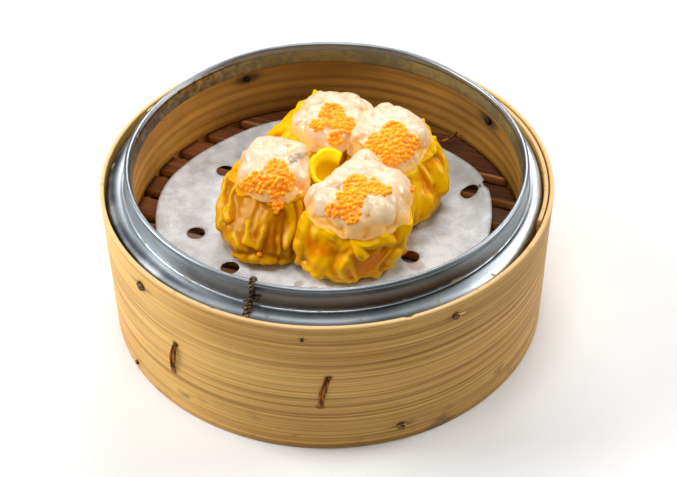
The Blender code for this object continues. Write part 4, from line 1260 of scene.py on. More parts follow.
class STEAMER_OT_fastenings(bpy.types.Operator):
    """Makes the pegs, the rattan stitches, the wire twist and the tie on the floor"""

    bl_idname = "steamer.fastenings"
    bl_label = "Pegs, stitches and ties"

    def execute(self, context):
        colours = context.scene.steamer_colours
        self.pegs(colours)
        rattan = strand_finish("rattan_strand", colours.rattan, dimmed(colours.rattan, 0.12))
        for index, row in enumerate(STITCHES):
            for half, turn in enumerate((0.0, 180.0)):
                number = 2 * index + half + 1
                tube(f"rattan_loop_{number}", self.loop(turn, *row), STRAND_RADIUS, rattan,
                     f"stitch_{number}", closed=True)
        self.wire()
        points = [polar(FLOOR_TIE_ANGLE + turn, radius * MM, height * MM)
                  for turn, radius, height in FLOOR_TIE]
        tube("floor_tie", points, FLOOR_TIE_RADIUS, rattan, "inner_tie")
        return {"FINISHED"}

    def pegs(self, colours):
        """The pegs outside with their pale splinters, and the wet ones in the inner wall."""
        finish = peg_finish(colours, 1.0)
        wet = peg_finish(colours, 0.06)
        pale = Finish("splinter", base_color=(*colours.bamboo_cut, 1.0), roughness=0.6)
        for index, (degrees, height, width) in enumerate(OUTER_PINS):
            shape = peg(math.radians(degrees), OUTER_RADIUS, height * MM, width * MM, 1.0,
                        SPLINTERS[index])
            piece(f"peg_{index + 1}", shape, [finish, pale], f"outer_pin_{index + 1}")
        for index, (degrees, height, width) in enumerate(INNER_PINS):
            share = (height * MM - INNER_BOTTOM) / (INNER_TOP - INNER_BOTTOM)
            shape = peg(math.radians(degrees), wall_face(share) - 0.3 * MM, height * MM,
                        width * MM, -1.0)
            piece(f"wall_peg_{index + 1}", shape, [wet], f"inner_pin_{index + 1}")

    def loop(self, turn, upper_angle, upper, lower_angle, lower, wide):
        """Points of a narrow loop: two strands that meet at the upper and the lower hole."""
        steps = 20
        points = []
        for side in (1.0, -1.0):
            for step in range(steps + 1):
                share = step / steps if side > 0.0 else 1.0 - step / steps
                angle = math.radians(upper_angle + turn + (lower_angle - upper_angle) * share)
                height = (upper + (lower - upper) * share) * MM
                bow = math.sin(math.pi * share)
                reach = OUTER_RADIUS - 0.5 * MM + (0.95 * MM + 0.25 * MM * side) * bow ** 0.3
                spread = side * (0.25 + wide * bow ** 0.7) - 0.5 * bow
                spread += 0.10 * math.sin(13.0 * share + 2.0 * side)
                points.append(polar(angle + spread * MM / OUTER_RADIUS, reach, height))
        return points

    def wire(self):
        """Two rusty wires twisted round each other, over the rim and down both sides."""
        finish = strand_finish("rusty_wire", WIRE_LIGHT, WIRE_DARK, 0.1)
        across = polar(WIRE_ANGLE + math.pi / 2.0, 1.0)
        outward = polar(WIRE_ANGLE, 1.0)
        middle = polar(WIRE_ANGLE, KNOT_MIDDLE[0] * MM, KNOT_MIDDLE[1] * MM)
        knot = [middle + (across * side + outward * out + UP * rise) * MM
                for side, out, rise in KNOT]
        tube("wire_knot", knot, KNOT_RADIUS, finish, "wire_tie")
        for half in (0, 1):
            tube(f"wire_strand_{half + 1}", self.twisted(across, half * math.pi), WIRE_RADIUS,
                 finish, "wire_tie")

    def twisted(self, across, start):
        """Points of one strand, which turns round the wire's route and widens at its end."""
        centres = [polar(WIRE_ANGLE, radius * MM, height * MM) for radius, height in WIRE_ROUTE]
        route = [first.lerp(second, part / 4.0)
                 for first, second in zip(centres, centres[1:]) for part in range(4)]
        route.append(centres[-1])
        strand = []
        for index, centre in enumerate(route):
            after = route[min(index + 1, len(route) - 1)]
            before = route[max(index - 1, 0)]
            off = (after - before).normalized().cross(across)
            angle = WIRE_TWIST * index + start
            wide = 0.65 + 0.35 * smooth_step(0.75, 0.95, index / len(route))
            strand.append(centre + (across * wide * math.cos(angle)
                                    + off * 0.32 * math.sin(angle)) * MM)
        return strand


# --- Paper ---------------------------------------------------------------------------------


def paper_edge(angle):
    """Radius of the paper's edge in one direction."""
    turn = 1.9 * math.cos(angle - math.radians(150.0))
    wave = 0.7 * math.cos(5.0 * angle - math.radians(70.0))
    return PAPER_RADIUS + (turn + wave) * MM


def paper_lift(angle, reach):
    """How far the paper stands off the slats: flat under the food, wavy outside."""
    share = smooth_step(PAPER_FLAT, 1.0, reach / paper_edge(angle))
    wave = 0.5 + 0.35 * math.sin(7.0 * angle) + 0.3 * math.sin(4.0 * angle + 1.0)
    curl = 2.6 * bell((angle - 0.25) / 0.40)
    return share * (max(wave, 0.0) + curl) * MM


def paper_finish(colours):
    """Damp paper: cloudy, with brown wet marks by the food and the front rim."""
    finish = Finish("damp_paper", roughness=0.45, subsurface_weight=0.2,
                    subsurface_radius=(1.0, 0.9, 0.8), subsurface_scale=0.6 * MM)
    cloud = finish.noise(170.0, detail=4.0, roughness=0.6)
    grey = finish.noise(45.0, detail=2.0)
    fibre = finish.noise(900.0, detail=2.0)
    tone = finish.band(cloud * 0.8 + grey * 0.4 + fibre * 0.2, 0.52, 0.86)
    colour = finish.mix(tone, dimmed(colours.paper, 0.68), colours.paper)
    spots = finish.band(finish.noise(210.0, detail=1.0), 0.5, 0.62)
    for x, y, reach, strength in WET_MARKS:
        zone = finish.near((x * MM, y * MM, PAPER_TOP), 0.3 * reach * MM, reach * MM)
        colour = finish.mix(zone * spots * strength, colour, PAPER_WET)
    juice = finish.near((JUICE_MARK[0] * MM, JUICE_MARK[1] * MM, PAPER_TOP), 2.0 * MM,
                        3.8 * MM)
    finish.feed("Base Color", finish.mix(juice * 0.55, colour, PAPER_JUICE))
    finish.relief((cloud, 0.12 * MM), (fibre, 0.04 * MM))
    return finish


class STEAMER_OT_paper(bpy.types.Operator):
    """Makes the round sheet of damp paper with its steam holes"""

    bl_idname = "steamer.paper"
    bl_label = "Paper liner"

    def execute(self, context):
        sizes = context.scene.steamer_sizes
        finish = paper_finish(context.scene.steamer_colours)
        rings = 60
        sheet = lathe([(ring / rings, 0.0) for ring in range(rings + 1)], 240)
        for face in sheet.faces:
            if face.normal.z < 0.0:
                face.normal_flip()
        for vert in sheet.verts:
            angle, share = around(vert)
            ragged = 0.12 * MM * steady(polar(angle, 0.06), 600.0) if share > 0.995 else 0.0
            vert.co = polar(angle, share * paper_edge(angle) + ragged)
        self.punch(sheet)
        for vert in sheet.verts:
            angle, reach = around(vert)
            cockle = sizes.cockle * (0.5 + 0.5 * steady(vert.co, 70.0, 3.0))
            cockle *= smooth_step(0.55, 0.8, reach / paper_edge(angle))
            vert.co.z = PAPER_TOP + paper_lift(angle, reach) + cockle
        paper = piece("damp_paper", sheet, [finish], "paper_liner")
        thick = paper.modifiers.new("thickness", "SOLIDIFY")
        thick.thickness = PAPER_THICKNESS * 0.8
        thick.offset = -1.0
        return {"FINISHED"}

    def punch(self, sheet):
        """Removes the faces in each hole and draws the ragged edge onto its circle."""
        for hole in [Vector(place) * MM for place in PAPER_HOLES]:
            inside = [face for face in sheet.faces
                      if (face.calc_center_median().xy - hole).length < HOLE_RADIUS]
            bmesh.ops.delete(sheet, geom=inside, context="FACES")
            for vert in sheet.verts:
                off = vert.co.xy - hole
                if vert.is_boundary and off.length < 2.0 * HOLE_RADIUS:
                    vert.co.xy = hole + off.normalized() * HOLE_RADIUS


# --- Food ----------------------------------------------------------------------------------


def set_presses():
    """Gives each dumpling the flat faces that it shares with its neighbours."""
    by_name = {dumpling.name: dumpling for dumpling in DUMPLINGS}
    for first, second, point, degrees in PRESSES:
        normal = polar(math.radians(degrees), 1.0).xy
        place = Vector(point) * MM
        by_name[first].presses.append((place, normal))
        if second:
            by_name[second].presses.append((place, -normal))


def press_limit(dumpling, centre, angle):
    """Furthest a dumpling may reach from a centre before it meets a neighbour."""
    direction = polar(angle, 1.0).xy
    limit = 1.0
    for point, normal in dumpling.presses:
        facing = direction.dot(normal)
        if facing > 0.01:
            limit = min(limit, ((point - centre).dot(normal) - GAP / 2.0) / facing)
    return limit


def centre_at(dumpling, share):
    """Middle of a dumpling's wall at a height share."""
    return dumpling.foot.lerp(dumpling.mouth, smooth_step(0.35, 1.0, share))


def wall_radius(dumpling, angle, share):
    """Radius of the smooth wall at a height share, from 0 at the foot to 1 at the lip."""
    wide = dumpling.mouth_width
    deep = dumpling.mouth_depth
    mouth_radius = wide * deep / math.hypot(deep * math.cos(angle), wide * math.sin(angle))
    radius = dumpling.foot_radius
    radius += (mouth_radius - radius) * smooth_step(0.40, 1.0, share)
    if share < 0.25:
        radius *= 1.0 - 0.11 * (1.0 - share / 0.25) ** 2
    return radius * (1.0 + 0.02 * math.sin(2.0 * angle + dumpling.phase))


def off_fold(fold, flat, height, whole_turn):
    """Distance from a fold's line on the unrolled wall, as a share of its half width."""
    start, run, width, _ = fold
    place = Vector((math.remainder(flat - start.x, whole_turn), height - start.y))
    along = place.dot(run) / run.length_squared if run.length else 0.0
    return (place - run * min(max(along, 0.0), 1.0)).length / width


def folds_swell(dumpling, flat, height, whole_turn):
    """Cube of the height of the folds over a place on the unrolled wall."""
    total = 0.0
    for fold in dumpling.folds:
        off = off_fold(fold, flat, height, whole_turn)
        if off < 1.0:
            total += (fold[3] * (1.0 - off * off) ** 0.8) ** 3
    return total


def panel_swell(dumpling, place, share):
    """Cube of the height of the seams between panels, and how far a panel bulges."""
    warped = place + noise.noise_vector(place * 110.0) * 3.0 * MM
    warped.z *= 0.62
    reaches, middles = noise.voronoi(warped / PANEL + UP * 9.0 * dumpling.phase)
    border = reaches[1] - reaches[0]
    bulge = 0.8 * MM * noise.noise(middles[0] * 7.7) * smooth_step(0.05, 0.45, border)
    low = 1.0 - smooth_step(0.15, 0.4, share)
    lumps = cobbles(warped, (5.2 - 1.6 * low) * MM, 5.0 + dumpling.phase)
    bulge += (1.1 + 0.5 * low) * MM * (lumps - 0.5)
    return (0.7 * MM * bell(border / 0.3)) ** 3, bulge


def thinness(dumpling, flat, height, whole_turn):
    """1 in a thin place of the dough, where the filling shows through, and 0 off it."""
    thin = 0.0
    for start, _, wide, tall in dumpling.pockets:
        off = math.hypot(math.remainder(flat - start.x, whole_turn) / wide,
                         (height - start.y) / tall)
        thin = max(thin, 1.0 - smooth_step(0.6, 1.25, off))
    return thin


def fold_height(dumpling, angle, share):
    """Height of the dough over the wall, and how thin it is, at a direction and a height."""
    place = polar(angle, dumpling.foot_radius, 20.0 * MM * share)
    bend = noise.noise_vector(place * 140.0) * 1.3 * MM
    flat = angle * dumpling.foot_radius + bend.x + bend.y
    height = WALL_HEIGHT * share + bend.z
    whole_turn = TURN * dumpling.foot_radius
    seam, bulge = panel_swell(dumpling, place, share)
    total = folds_swell(dumpling, flat, height, whole_turn) + seam
    return (max(total ** (1.0 / 3.0) + bulge, 0.0),
            thinness(dumpling, flat, height, whole_turn))


def cling(dumpling, angle):
    """How far the filling swells over the lip: 0 at a flap of dough, up to 1 elsewhere."""
    flap = max(bell(math.remainder(angle - direction, TURN) / (1.2 * width))
               for direction, _, _, width in dumpling.lobes)
    foot = polar(angle, dumpling.foot_radius)
    return (1.0 - flap) * smooth_step(-0.8, 0.0, steady(foot, 110.0, 4.0 + dumpling.phase))


def lobe_sum(dumpling, angle, which):
    """What a dumpling's flaps add in a direction: reach for 0 and rise for 1."""
    total = 0.0
    for direction, reach, rise, width in dumpling.lobes:
        off = math.remainder(angle - direction, TURN)
        total += (reach, rise)[which] * bell(off / width)
    return total


def lip_height(dumpling, angle):
    """Height of the dough's crumpled lip in a direction."""
    foot = polar(angle, dumpling.foot_radius)
    crumple = steady(foot, 190.0, 6.0 + dumpling.phase) + 0.5 * steady(foot, 450.0, 2.0)
    return dumpling.lip + lobe_sum(dumpling, angle, 1) + 1.1 * MM * crumple


def soften(place):
    """Crumples space a little, so that nested and touching surfaces stay nested."""
    moved = place + noise.noise_vector(place * 130.0) * 0.9 * MM
    moved += noise.noise_vector(place * 420.0) * 0.22 * MM
    moved.z = max(moved.z, FOOD_FLOOR)
    return moved


def outer_place(dumpling, angle, share):
    """A point on the dough's outside, how high the fold stands there, and how thin."""
    centre = centre_at(dumpling, share)
    fold, thin = fold_height(dumpling, angle, share)
    tuck = 1.0 - smooth_step(0.80, 1.0, share) * (0.35 + 0.5 * cling(dumpling, angle))
    radius = wall_radius(dumpling, angle, share) + 0.2 * MM + fold * tuck
    radius += lobe_sum(dumpling, angle, 0) * smooth_step(0.3, 0.85, share)
    side = polar(angle, dumpling.foot_radius, 12.0 * MM * share)
    radius += 1.1 * MM * steady(side, 230.0, 8.0) * smooth_step(0.6, 0.95, share)
    radius -= 0.7 * MM * cling(dumpling, angle) * smooth_step(0.85, 1.0, share)
    radius = min(radius, press_limit(dumpling, centre, angle))
    rise = 0.4 * fold * tuck * smooth_step(0.8, 1.0, share)
    height = FOOD_FLOOR + (lip_height(dumpling, angle) - FOOD_FLOOR) * share + rise
    return polar(angle, radius, height) + centre.to_3d(), fold, thin


def inner_radius(dumpling, angle, share):
    """Radius of the dough's inside at a height share."""
    centre = centre_at(dumpling, share)
    radius = min(wall_radius(dumpling, angle, share), press_limit(dumpling, centre, angle))
    return radius - WRAPPER


def inner_place(dumpling, angle, share, inset=0.0):
    """A point on the dough's inside, or on the filling that is inset from it."""
    radius = inner_radius(dumpling, angle, share) - inset
    height = FOOD_FLOOR + (lip_height(dumpling, angle) - FOOD_FLOOR) * share
    return polar(angle, radius, height) + centre_at(dumpling, share).to_3d()


def dough_colour(finish, colours, ridge, cloud):
    """Dough by how it lies: warm over filling, pale on folds, and painted shade in creases.

    The dumpling at the left gets painted shade: browner, and a little less glossy.
    """
    share = finish.attribute("share")
    thin = finish.attribute("thin")
    hollow = finish.attribute("hollow")
    body = finish.band(share, 0.05, 0.25) * finish.below(share, 0.9, 1.0)
    warm = finish.band(cloud * 0.9 + (1.0 - ridge) * 0.3 + thin * 0.5, 0.60, 1.0) * body
    pale = finish.band(ridge * 0.6 + share * 0.25 - hollow * 0.9 - thin * 0.3, -0.25, 0.45)
    colour = finish.mix(warm, colours.dough, colours.dough_warm)
    colour = finish.mix(pale * 0.85, colour, colours.dough_pale)
    foot = finish.below(share, 0.02, 0.22) * (1.0 - hollow)
    colour = finish.mix(foot * 0.8, colour, colours.dough_pale)
    # Painted shade: the dough darkens to a deep orange in its creases.
    colour = finish.mix(finish.band(hollow, 0.55, 1.0) * 0.75, colour, colours.dough_deep)
    # Painted shade on the dumpling at the left: its dough is mixed towards a darker brown and
    # its coat is thinned.
    x, y, _ = finish.axes()
    left = finish.below(x, -13.0 * MM, -4.0 * MM) * finish.below(y, 4.0 * MM, 14.0 * MM)
    finish.feed("Coat Weight", 0.13 - left * 0.02)
    return finish.mix(left * (0.88 - pale * 0.50), colour, DOUGH_SHADE)


def dough_finish(colours):
    """Wet yellow dough: painted shade, deep orange, in creases, orange over filling, lemon on
    folds and the foot, and a painted glow on the loose petal.
    """
    finish = Finish("wet_dough", specular_tint=(1.0, 0.8, 0.0, 1.0), specular_ior_level=0.35,
                    subsurface_weight=0.5, subsurface_radius=(1.0, 0.5, 0.02),
                    subsurface_scale=1.4 * MM, coat_roughness=0.03, emission_strength=0.22)
    ridge = finish.attribute("fold")
    cloud = finish.noise((120.0, 120.0, 90.0), detail=2.0)
    fine = finish.noise((420.0, 420.0, 260.0), detail=3.0)
    glow = finish.attribute("glow")
    colour = dough_colour(finish, colours, ridge, cloud)
    # Painted light: the loose petal is painted a lighter yellow and glows, most of all at its
    # rim.
    colour = finish.mix(glow, colour, CURL_LIT_YELLOW)
    film = finish.band(finish.attribute("film") + fine * 0.4, 0.5, 1.2)
    finish.feed("Base Color", finish.mix(film * 0.8, colour, colours.juice))
    finish.feed("Emission Color", finish.mix(glow, NO_GLOW, CURL_GLOW))
    finish.feed("Roughness", 0.3 + fine * 0.2)
    finish.relief((cloud, 0.3 * MM), (fine, 0.16 * MM))
    return finish


def filling_colour(finish, colours, hollow, cloud, wrinkle):
    """Filling with peach tone and painted warm shade in creases and on its sides, a golden
    edge, and stains of roe and mushroom.
    """
    pale = finish.attribute("pale")
    # Peach comes partly from random tone and partly from painted warm shade in creases and on
    # sideways faces.
    peach_and_shade = finish.band(hollow * 0.7 + cloud * 0.8 + wrinkle * 0.4 - pale * 0.4, 0.5, 0.95)
    colour = finish.mix(peach_and_shade, colours.filling, colours.filling_pink)
    # Painted shade: deep creases and sideways faces turn golden.
    colour = finish.mix(finish.band(hollow, 0.56, 0.88) * 0.85, colour, colours.juice)
    # At its low edge the filling turns golden: partly juice, partly painted shade and a painted
    # reflection of the yellow dough.
    edge = finish.band(finish.attribute("edge") + cloud * 0.8 - pale * 0.3, 0.55, 1.25)
    colour = finish.mix(edge * 0.95, colour, colours.juice)
    colour = finish.mix(finish.attribute("near_roe") * 0.95, colour, ROE_STAIN)
    specks = finish.band(finish.noise(420.0, detail=1.0), 0.74, 0.78)
    colour = finish.mix(specks * 0.6, colour, SPECK)
    smudge = finish.band(finish.attribute("smudge") + wrinkle * 1.8, 1.1, 1.9)
    return finish.mix(smudge * 0.9, colour, MUSHROOM)


def filling_finish(colours):
    """Glossy filling: nearly white on lumps, peach in creases, stained orange by the roe, with
    a painted warm glow that lifts its shade.
    """
    finish = Finish("glossy_filling", subsurface_weight=0.7, subsurface_radius=(1.0, 0.6, 0.3),
                    subsurface_scale=2.4 * MM, coat_weight=0.5, coat_roughness=0.04,
                    specular_ior_level=0.3, emission_strength=0.3)
    hollow = finish.attribute("hollow")
    cloud = finish.noise(110.0, detail=3.0)
    fine = finish.noise(500.0, detail=3.0)
    wrinkle = finish.noise(300.0, detail=3.0, distortion=1.5)
    finish.feed("Base Color", filling_colour(finish, colours, hollow, cloud, wrinkle))
    # Painted light: the filling glows warm, more orange in its creases, to lift its shade.
    finish.feed("Emission Color", finish.mix(finish.band(hollow, 0.5, 0.9), FILLING_GLOW,
                                             CREASE_GLOW))
    finish.feed("Roughness", 0.36 + fine * 0.2)
    finish.relief((wrinkle, 0.17 * MM), (fine, 0.08 * MM))
    return finish


def roe_finish(colours):
    """Clear orange beads, each a little lighter or darker, with a painted orange glow for the
    light that passes through them.
    """
    red, green, blue = colours.roe
    finish = Finish("roe_beads", subsurface_weight=0.4, subsurface_radius=(1.0, 0.6, 0.1),
                    subsurface_scale=0.7 * MM, coat_weight=0.4, coat_roughness=0.08,
                    emission_color=(red, green, blue, 1.0), emission_strength=0.14,
                    specular_tint=(1.0, 0.7, 0.3, 1.0), roughness=0.4)
    tone = finish.attribute("tone")
    deep = (red, 0.75 * green, 0.5 * blue)
    light = (1.0, 1.15 * green, 6.0 * blue)
    colour = finish.mix(finish.band(tone, 0.0, 0.5), deep, (red, green, blue))
    finish.feed("Base Color", finish.mix(finish.band(tone, 0.5, 1.0), colour, light))
    return finish


def mound_point(dumpling, angle, share, rise):
    """A point of the filling's mound: share 1 at its edge and 0 on top, rise 0 to 1."""
    centre = dumpling.mouth.lerp(dumpling.crown, 1.0 - share)
    hold = cling(dumpling, angle)
    swell = (1.0 + 1.8 * hold) * MM * smooth_step(0.0, 0.12, rise)
    swell += 0.55 * lobe_sum(dumpling, angle, 0) * (1.0 - smooth_step(0.1, 0.7, rise))
    radius = (inner_radius(dumpling, angle, 1.0) + swell) * share
    radius = min(radius, press_limit(dumpling, centre, angle) - GAP)
    low = lip_height(dumpling, angle) * share + dumpling.lip * (1.0 - share) - 0.4 * MM
    drip = 1.7 * MM * hold * smooth_step(0.0, 0.08, rise) * (1.0 - smooth_step(0.08, 0.4, rise))
    height = low + (dumpling.top - low) * rise - drip
    return polar(angle, radius, height) + centre.to_3d()


class STEAMER_OT_wrappers(bpy.types.Operator):
    """Makes the four pleated dough cups and the loose petal of dough in the middle"""

    bl_idname = "steamer.wrappers"
    bl_label = "Dough wrappers"

    def execute(self, context):
        finish = dough_finish(context.scene.steamer_colours)
        for dumpling in DUMPLINGS:
            piece("dough_" + dumpling.name, self.cup(dumpling), [finish],
                  "wrapper_" + dumpling.name)
        piece("dough_curl", self.curl(), [finish], "wrapper_back")
        return {"FINISHED"}

    def cup(self, dumpling):
        """A unit cup, spun from reach 2 outside to 1 inside, then shaped as dough."""
        outside = [(2.0, row / WALL_ROWS) for row in range(WALL_ROWS + 1)]
        lip = [(1.75, 1.0), (1.5, 1.0), (1.25, 1.0)]
        inside = [(1.0, 1.0 - 0.9 * row / INSIDE_ROWS) for row in range(INSIDE_ROWS + 1)]
        cup = lathe([(0.0, 0.0)] + outside + lip + inside + [(0.0, 0.1)], FOOD_SIDES)
        layers = float_layers(cup, "fold", "share", "thin", "film", "hollow")
        for vert in cup.verts:
            angle, reach = around(vert)
            share = vert.co.z
            if reach < 0.5:
                centre = centre_at(dumpling, share).to_3d()
                vert.co = centre + UP * (FOOD_FLOOR + share * (dumpling.lip - FOOD_FLOOR))
                continue
            place, fold, thin = self.dough_place(dumpling, angle, share, reach - 1.0)
            vert.co = soften(place)
            vert[layers["fold"]] = min(fold / FOLD_FULL, 1.0)
            vert[layers["share"]] = share
            vert[layers["thin"]] = thin
            vert[layers["film"]] = cling(dumpling, angle) * smooth_step(0.72, 0.98, share)
        bmesh.ops.recalc_face_normals(cup, faces=cup.faces)
        for vert, hollow in zip(cup.verts, hollows(cup, 0.4 * MM, 60)):
            vert[layers["hollow"]] = hollow
        dumpling.surfaces.append(BVHTree.FromBMesh(cup))
        return cup

    def dough_place(self, dumpling, angle, share, depth):
        """A point of the skin, from 0 inside to 1 outside, its fold, and how thin it is."""
        outer, fold, thin = outer_place(dumpling, angle, share)
        inner = inner_place(dumpling, angle, share)
        sheet = outer - (outer - inner).normalized() * WRAPPER * 0.9
        inner = inner.lerp(sheet, 0.35 * smooth_step(0.84, 0.97, share))
        place = inner.lerp(outer, depth)
        if share > 0.999:
            place.z += 0.35 * MM * math.sin(math.pi * depth)
        return place, fold, thin

    def curl(self):
        """A thick petal of dough, hollow like a spoon that leans back, open to the right,
        painted lighter and glowing, most at its rim.
        """
        petal = bmesh.new()
        bmesh.ops.create_grid(petal, x_segments=44, y_segments=22, size=0.5)
        layers = float_layers(petal, "fold", "share", "glow")
        for vert in petal.verts:
            up = vert.co.y + 0.5
            angle = CURL_START + CURL_SWEEP * (vert.co.x + 0.5)
            reach = Vector((math.cos(angle), math.sin(angle), math.sin(angle)))
            rim = CURL_RIM + reach * CURL_HALF
            rim += polar(angle, CURL_FLARE) * smooth_step(0.75, 1.0, up)
            place = CURL_BOTTOM.lerp(rim, math.sin(0.5 * math.pi * up) ** 0.8)
            place.z = CURL_BOTTOM.z + (rim.z - CURL_BOTTOM.z) * (
                1.0 - math.cos(0.5 * math.pi * up))
            # The petal's painted light grows towards its rim.
            edge = smooth_step(0.6, 1.0, up)
            vert[layers["fold"]] = 1.0
            vert[layers["share"]] = 0.85 + 0.15 * edge
            vert[layers["glow"]] = 0.15 + 0.85 * edge
            vert.co = soften(place)
        bmesh.ops.recalc_face_normals(petal, faces=petal.faces)
        inward = petal.faces[:][len(petal.faces) // 2]
        if inward.normal.dot(inward.calc_center_median() - CURL_RIM - UP * 0.02) > 0.0:
            bmesh.ops.reverse_faces(petal, faces=petal.faces)
        bmesh.ops.solidify(petal, geom=petal.faces, thickness=CURL_THICKNESS)
        bmesh.ops.smooth_vert(petal, verts=petal.verts, factor=0.5)
        bmesh.ops.recalc_face_normals(petal, faces=petal.faces)
        return petal


def mound_rise(share):
    """Height share of the mound's top: flat in the middle and steep at the edge."""
    return (1.0 - share ** MOUND_POWER) ** 0.5


def chunk_field(dumpling, places, lump):
    """Smooth lumps of filling at places on the mound: their height, and how pale they are."""
    draw = random.Random("chunks " + dumpling.name)
    chunks = []
    for _ in range(500):
        reach = math.sqrt(draw.random()) * 0.985
        point = mound_point(dumpling, draw.uniform(0.0, TURN), reach, mound_rise(reach))
        radius = draw.uniform(2.6, 5.4) * MM
        if all((point - other).length > 0.62 * (radius + far) for other, far in chunks):
            chunks.append((point, radius))
    total = numpy.zeros(len(places))
    pale = numpy.zeros(len(places))
    for point, radius in chunks:
        turn = Matrix.Rotation(draw.uniform(0.0, TURN), 3, "Z")
        stretch = Matrix.Diagonal((draw.uniform(0.75, 1.0), draw.uniform(1.0, 1.35), 0.9))
        shape = numpy.array(stretch @ turn) / (1.25 * radius)
        off = (((places - numpy.array(point)) @ shape.T) ** 2).sum(axis=1)
        height = lump * draw.uniform(0.55, 1.15) * (0.4 + 0.6 * radius / (5.2 * MM))
        swell = (height * numpy.sqrt(numpy.clip(1.0 - off, 0.0, 1.0))) ** 4
        total += swell
        pale += swell * draw.random()
    return total ** 0.25, pale / numpy.maximum(total, 1e-20)


def filling_profile():
    """The filling's section: inside the cup, up the steep side, and over the top.

    Heights below 0 are in the cup. Above it they are shares of the mound's height.
    """
    cup = [(0.0, -0.9), (1.0, -0.9), (1.0, -0.5), (1.0, -0.15), (1.0, -0.02)]
    rises = [SIDE_RISE * step / SIDE_ROWS for step in range(1, SIDE_ROWS + 1)]
    side = [((1.0 - rise ** 2) ** (1.0 / MOUND_POWER), rise) for rise in rises]
    reaches = [side[-1][0] * (1.0 - step / TOP_ROWS) for step in range(1, TOP_ROWS + 1)]
    return cup + side + [(reach, mound_rise(reach)) for reach in reaches]


def swell_mound(dumpling, mound, lump, pale_layer):
    """Pushes the mound's corners out into lumps, crumbs and fine crags."""
    places = [vert.co + noise.noise_vector(vert.co * 150.0) * 1.2 * MM for vert, _ in mound]
    swells, pales = chunk_field(dumpling, numpy.array(places), lump)
    for (vert, rise), place, swell, pale in zip(mound, places, swells, pales):
        height = swell - 0.5 * lump
        height = max(height, height * smooth_step(0.0, 0.3, rise))
        crumb = smooth_step(-0.1, 0.5, steady(place, 75.0, 9.0))
        height += crumb * 0.35 * MM * (cobbles(place, 2.4 * MM) - 0.5)
        height += 0.22 * MM * (0.5 - 2.0 * abs(steady(place, 240.0, 3.0)))
        height += 0.12 * MM * steady(place, 900.0)
        for x, y, reach, extra in dumpling.lumps:
            height += 0.8 * extra * bell((place.xy - Vector((x, y))).length / reach)
        vert.co += vert.normal * height
        vert[pale_layer] = pale


def filling_shape(dumpling, lump):
    """The filling: the inside of the cup, a steep side over the lip, and a lumpy top."""
    shape = lathe(filling_profile(), FOOD_SIDES)
    layers = float_layers(shape, "hollow", "edge", "pale", "near_roe", "smudge")
    mound = []
    for vert in shape.verts:
        angle, share = around(vert)
        rise = vert.co.z
        if rise < 0.0:
            level = 1.0 + rise
            place = inner_place(dumpling, angle, level, 0.4 * MM)
            if share < 0.5:
                place = centre_at(dumpling, level).to_3d() + UP * place.z
            place.z += 0.4 * MM * (level < 0.5)
        else:
            place = mound_point(dumpling, angle, share, rise)
            mound.append((vert, rise))
            vert[layers["edge"]] = 1.0 - smooth_step(0.15, 0.75, rise)
        vert.co = soften(place)
    bmesh.ops.recalc_face_normals(shape, faces=shape.faces)
    shape.normal_update()
    swell_mound(dumpling, mound, lump, layers["pale"])
    for vert, hollow in zip(shape.verts, hollows(shape, 0.45 * MM, 60)):
        # Sideways faces count as hollow too, so that they get painted shade.
        side = 1.0 - smooth_step(0.25, 0.95, vert.normal.z)
        vert[layers["hollow"]] = 0.55 * hollow + 0.45 * side
    for vert, _ in mound:
        aim = seen_on_plane(vert.co)
        vert[layers["near_roe"]] = marked(dumpling.patches, aim, 0.7, 1.3)
        vert[layers["smudge"]] = marked(dumpling.smudges, aim, 0.3, 1.4)
    shape.normal_update()
    return shape


def seen_on_plane(place):
    """Where the line from the eye through a place meets the level ROE_PLANE."""
    line = place - EYE
    return EYE + line * ((ROE_PLANE - EYE.z) / line.z)


def spread(patch, aim):
    """Distance of a point from a patch's middle, 1 at the patch's edge."""
    x, y, wide, deep = patch
    return math.hypot((aim.x - x) / wide, (aim.y - y) / deep)


def marked(patches, aim, inner, outer):
    """1 well within a patch and 0 well off all of them."""
    return max([0.0] + [1.0 - smooth_step(inner, outer, spread(patch, aim))
                        for patch in patches])


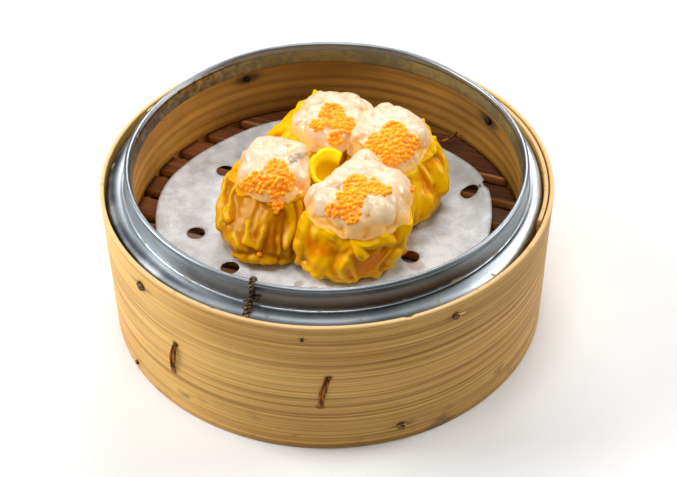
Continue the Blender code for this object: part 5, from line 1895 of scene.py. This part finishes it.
class STEAMER_OT_fillings(bpy.types.Operator):
    """Makes the four lumpy fillings and the heaps of roe on them"""

    bl_idname = "steamer.fillings"
    bl_label = "Fillings and roe"

    def execute(self, context):
        sizes = context.scene.steamer_sizes
        colours = context.scene.steamer_colours
        meat = filling_finish(colours)
        orange = roe_finish(colours)
        for dumpling in DUMPLINGS:
            shape = filling_shape(dumpling, sizes.lump)
            dumpling.surfaces.append(BVHTree.FromBMesh(shape))
            piece("meat_" + dumpling.name, shape, [meat], "filling_" + dumpling.name)
            beads = self.beads(dumpling, sizes.bead)
            piece("beads_" + dumpling.name, beads, [orange], "roe_" + dumpling.name)
        return {"FINISHED"}

    def seen(self, dumpling, aim):
        """The nearest point of a dumpling's dough or filling on the line of sight."""
        casts = [surface.ray_cast(EYE, (aim - EYE).normalized())
                 for surface in dumpling.surfaces]
        hits = [cast for cast in casts if cast[0]]
        return min(hits, key=lambda cast: cast[3])[:2] if hits else (None, None)

    def bead_places(self, dumpling, spacing, draw, tries):
        """Scattered points of the patches, no two closer than the spacing."""
        found = []
        for _ in range(tries):
            x, y, wide, deep = draw.choice(dumpling.patches)
            turn = draw.uniform(0.0, TURN)
            reach = math.sqrt(draw.random())
            aim = Vector((x + wide * reach * math.cos(turn), y + deep * reach * math.sin(turn),
                          ROE_PLANE))
            hit, normal = self.seen(dumpling, aim)
            if hit is None or any((hit - other).length < spacing for other, _ in found):
                continue
            found.append((hit, normal))
        return found

    def beads(self, dumpling, radius):
        """Two layers of beads: a sunken one, and a looser one heaped on it."""
        draw = random.Random("roe " + dumpling.name)
        heap = bmesh.new()
        tone = heap.verts.layers.float.new("tone")
        for spacing, lift, tries in ((1.4, -0.15, 3500), (1.8, 0.45, 600)):
            for place, normal in self.bead_places(dumpling, spacing * radius, draw, tries):
                share = radius * draw.uniform(0.82, 1.12)
                made = bmesh.ops.create_icosphere(
                    heap, subdivisions=2, radius=share,
                    matrix=Matrix.Translation(place + normal * radius * lift))
                shade = draw.random()
                for vert in made["verts"]:
                    vert[tone] = shade
        for x, y in dumpling.strays:
            hit, normal = self.seen(dumpling, Vector((x * MM, y * MM, ROE_PLANE)))
            if hit:
                lifted = Matrix.Translation(hit + normal * 0.5 * radius)
                bmesh.ops.create_icosphere(heap, subdivisions=2, radius=radius, matrix=lifted)
        return heap


# --- Panel and registration ----------------------------------------------------------------


STEPS = (STEAMER_OT_stage, STEAMER_OT_outer_strips, STEAMER_OT_hoops, STEAMER_OT_slats,
         STEAMER_OT_metal_rim, STEAMER_OT_fastenings, STEAMER_OT_paper,
         STEAMER_OT_wrappers, STEAMER_OT_fillings)


class STEAMER_PT_panel(bpy.types.Panel):
    """Lists the sizes, the colours and the steps of the steamer"""

    bl_idname = "STEAMER_PT_panel"
    bl_label = "Steamer of Dumplings"
    bl_space_type = "VIEW_3D"
    bl_region_type = "UI"
    bl_category = "Steamer"

    def draw(self, context):
        for group in (context.scene.steamer_sizes, context.scene.steamer_colours):
            box = self.layout.box()
            for name in group.bl_rna.properties.keys():
                if name not in ("rna_type", "name"):
                    box.prop(group, name)
        for step in STEPS:
            self.layout.operator(step.bl_idname)


CLASSES = (SteamerSizes, SteamerColours, *STEPS, STEAMER_PT_panel)


def register():
    """Registers the classes and the settings, and seeds the noise."""
    noise.seed_set(NOISE_SEED)
    for item in CLASSES:
        bpy.utils.register_class(item)
    bpy.types.Scene.steamer_sizes = bpy.props.PointerProperty(type=SteamerSizes)
    bpy.types.Scene.steamer_colours = bpy.props.PointerProperty(type=SteamerColours)


def unregister():
    """Takes the settings and the classes away again."""
    del bpy.types.Scene.steamer_colours
    del bpy.types.Scene.steamer_sizes
    for item in reversed(CLASSES):
        bpy.utils.unregister_class(item)


def main():
    """Runs every step."""
    register()
    set_presses()
    for step in STEPS:
        group, name = step.bl_idname.split(".")
        getattr(getattr(bpy.ops, group), name)()


if __name__ == "__main__":
    main()
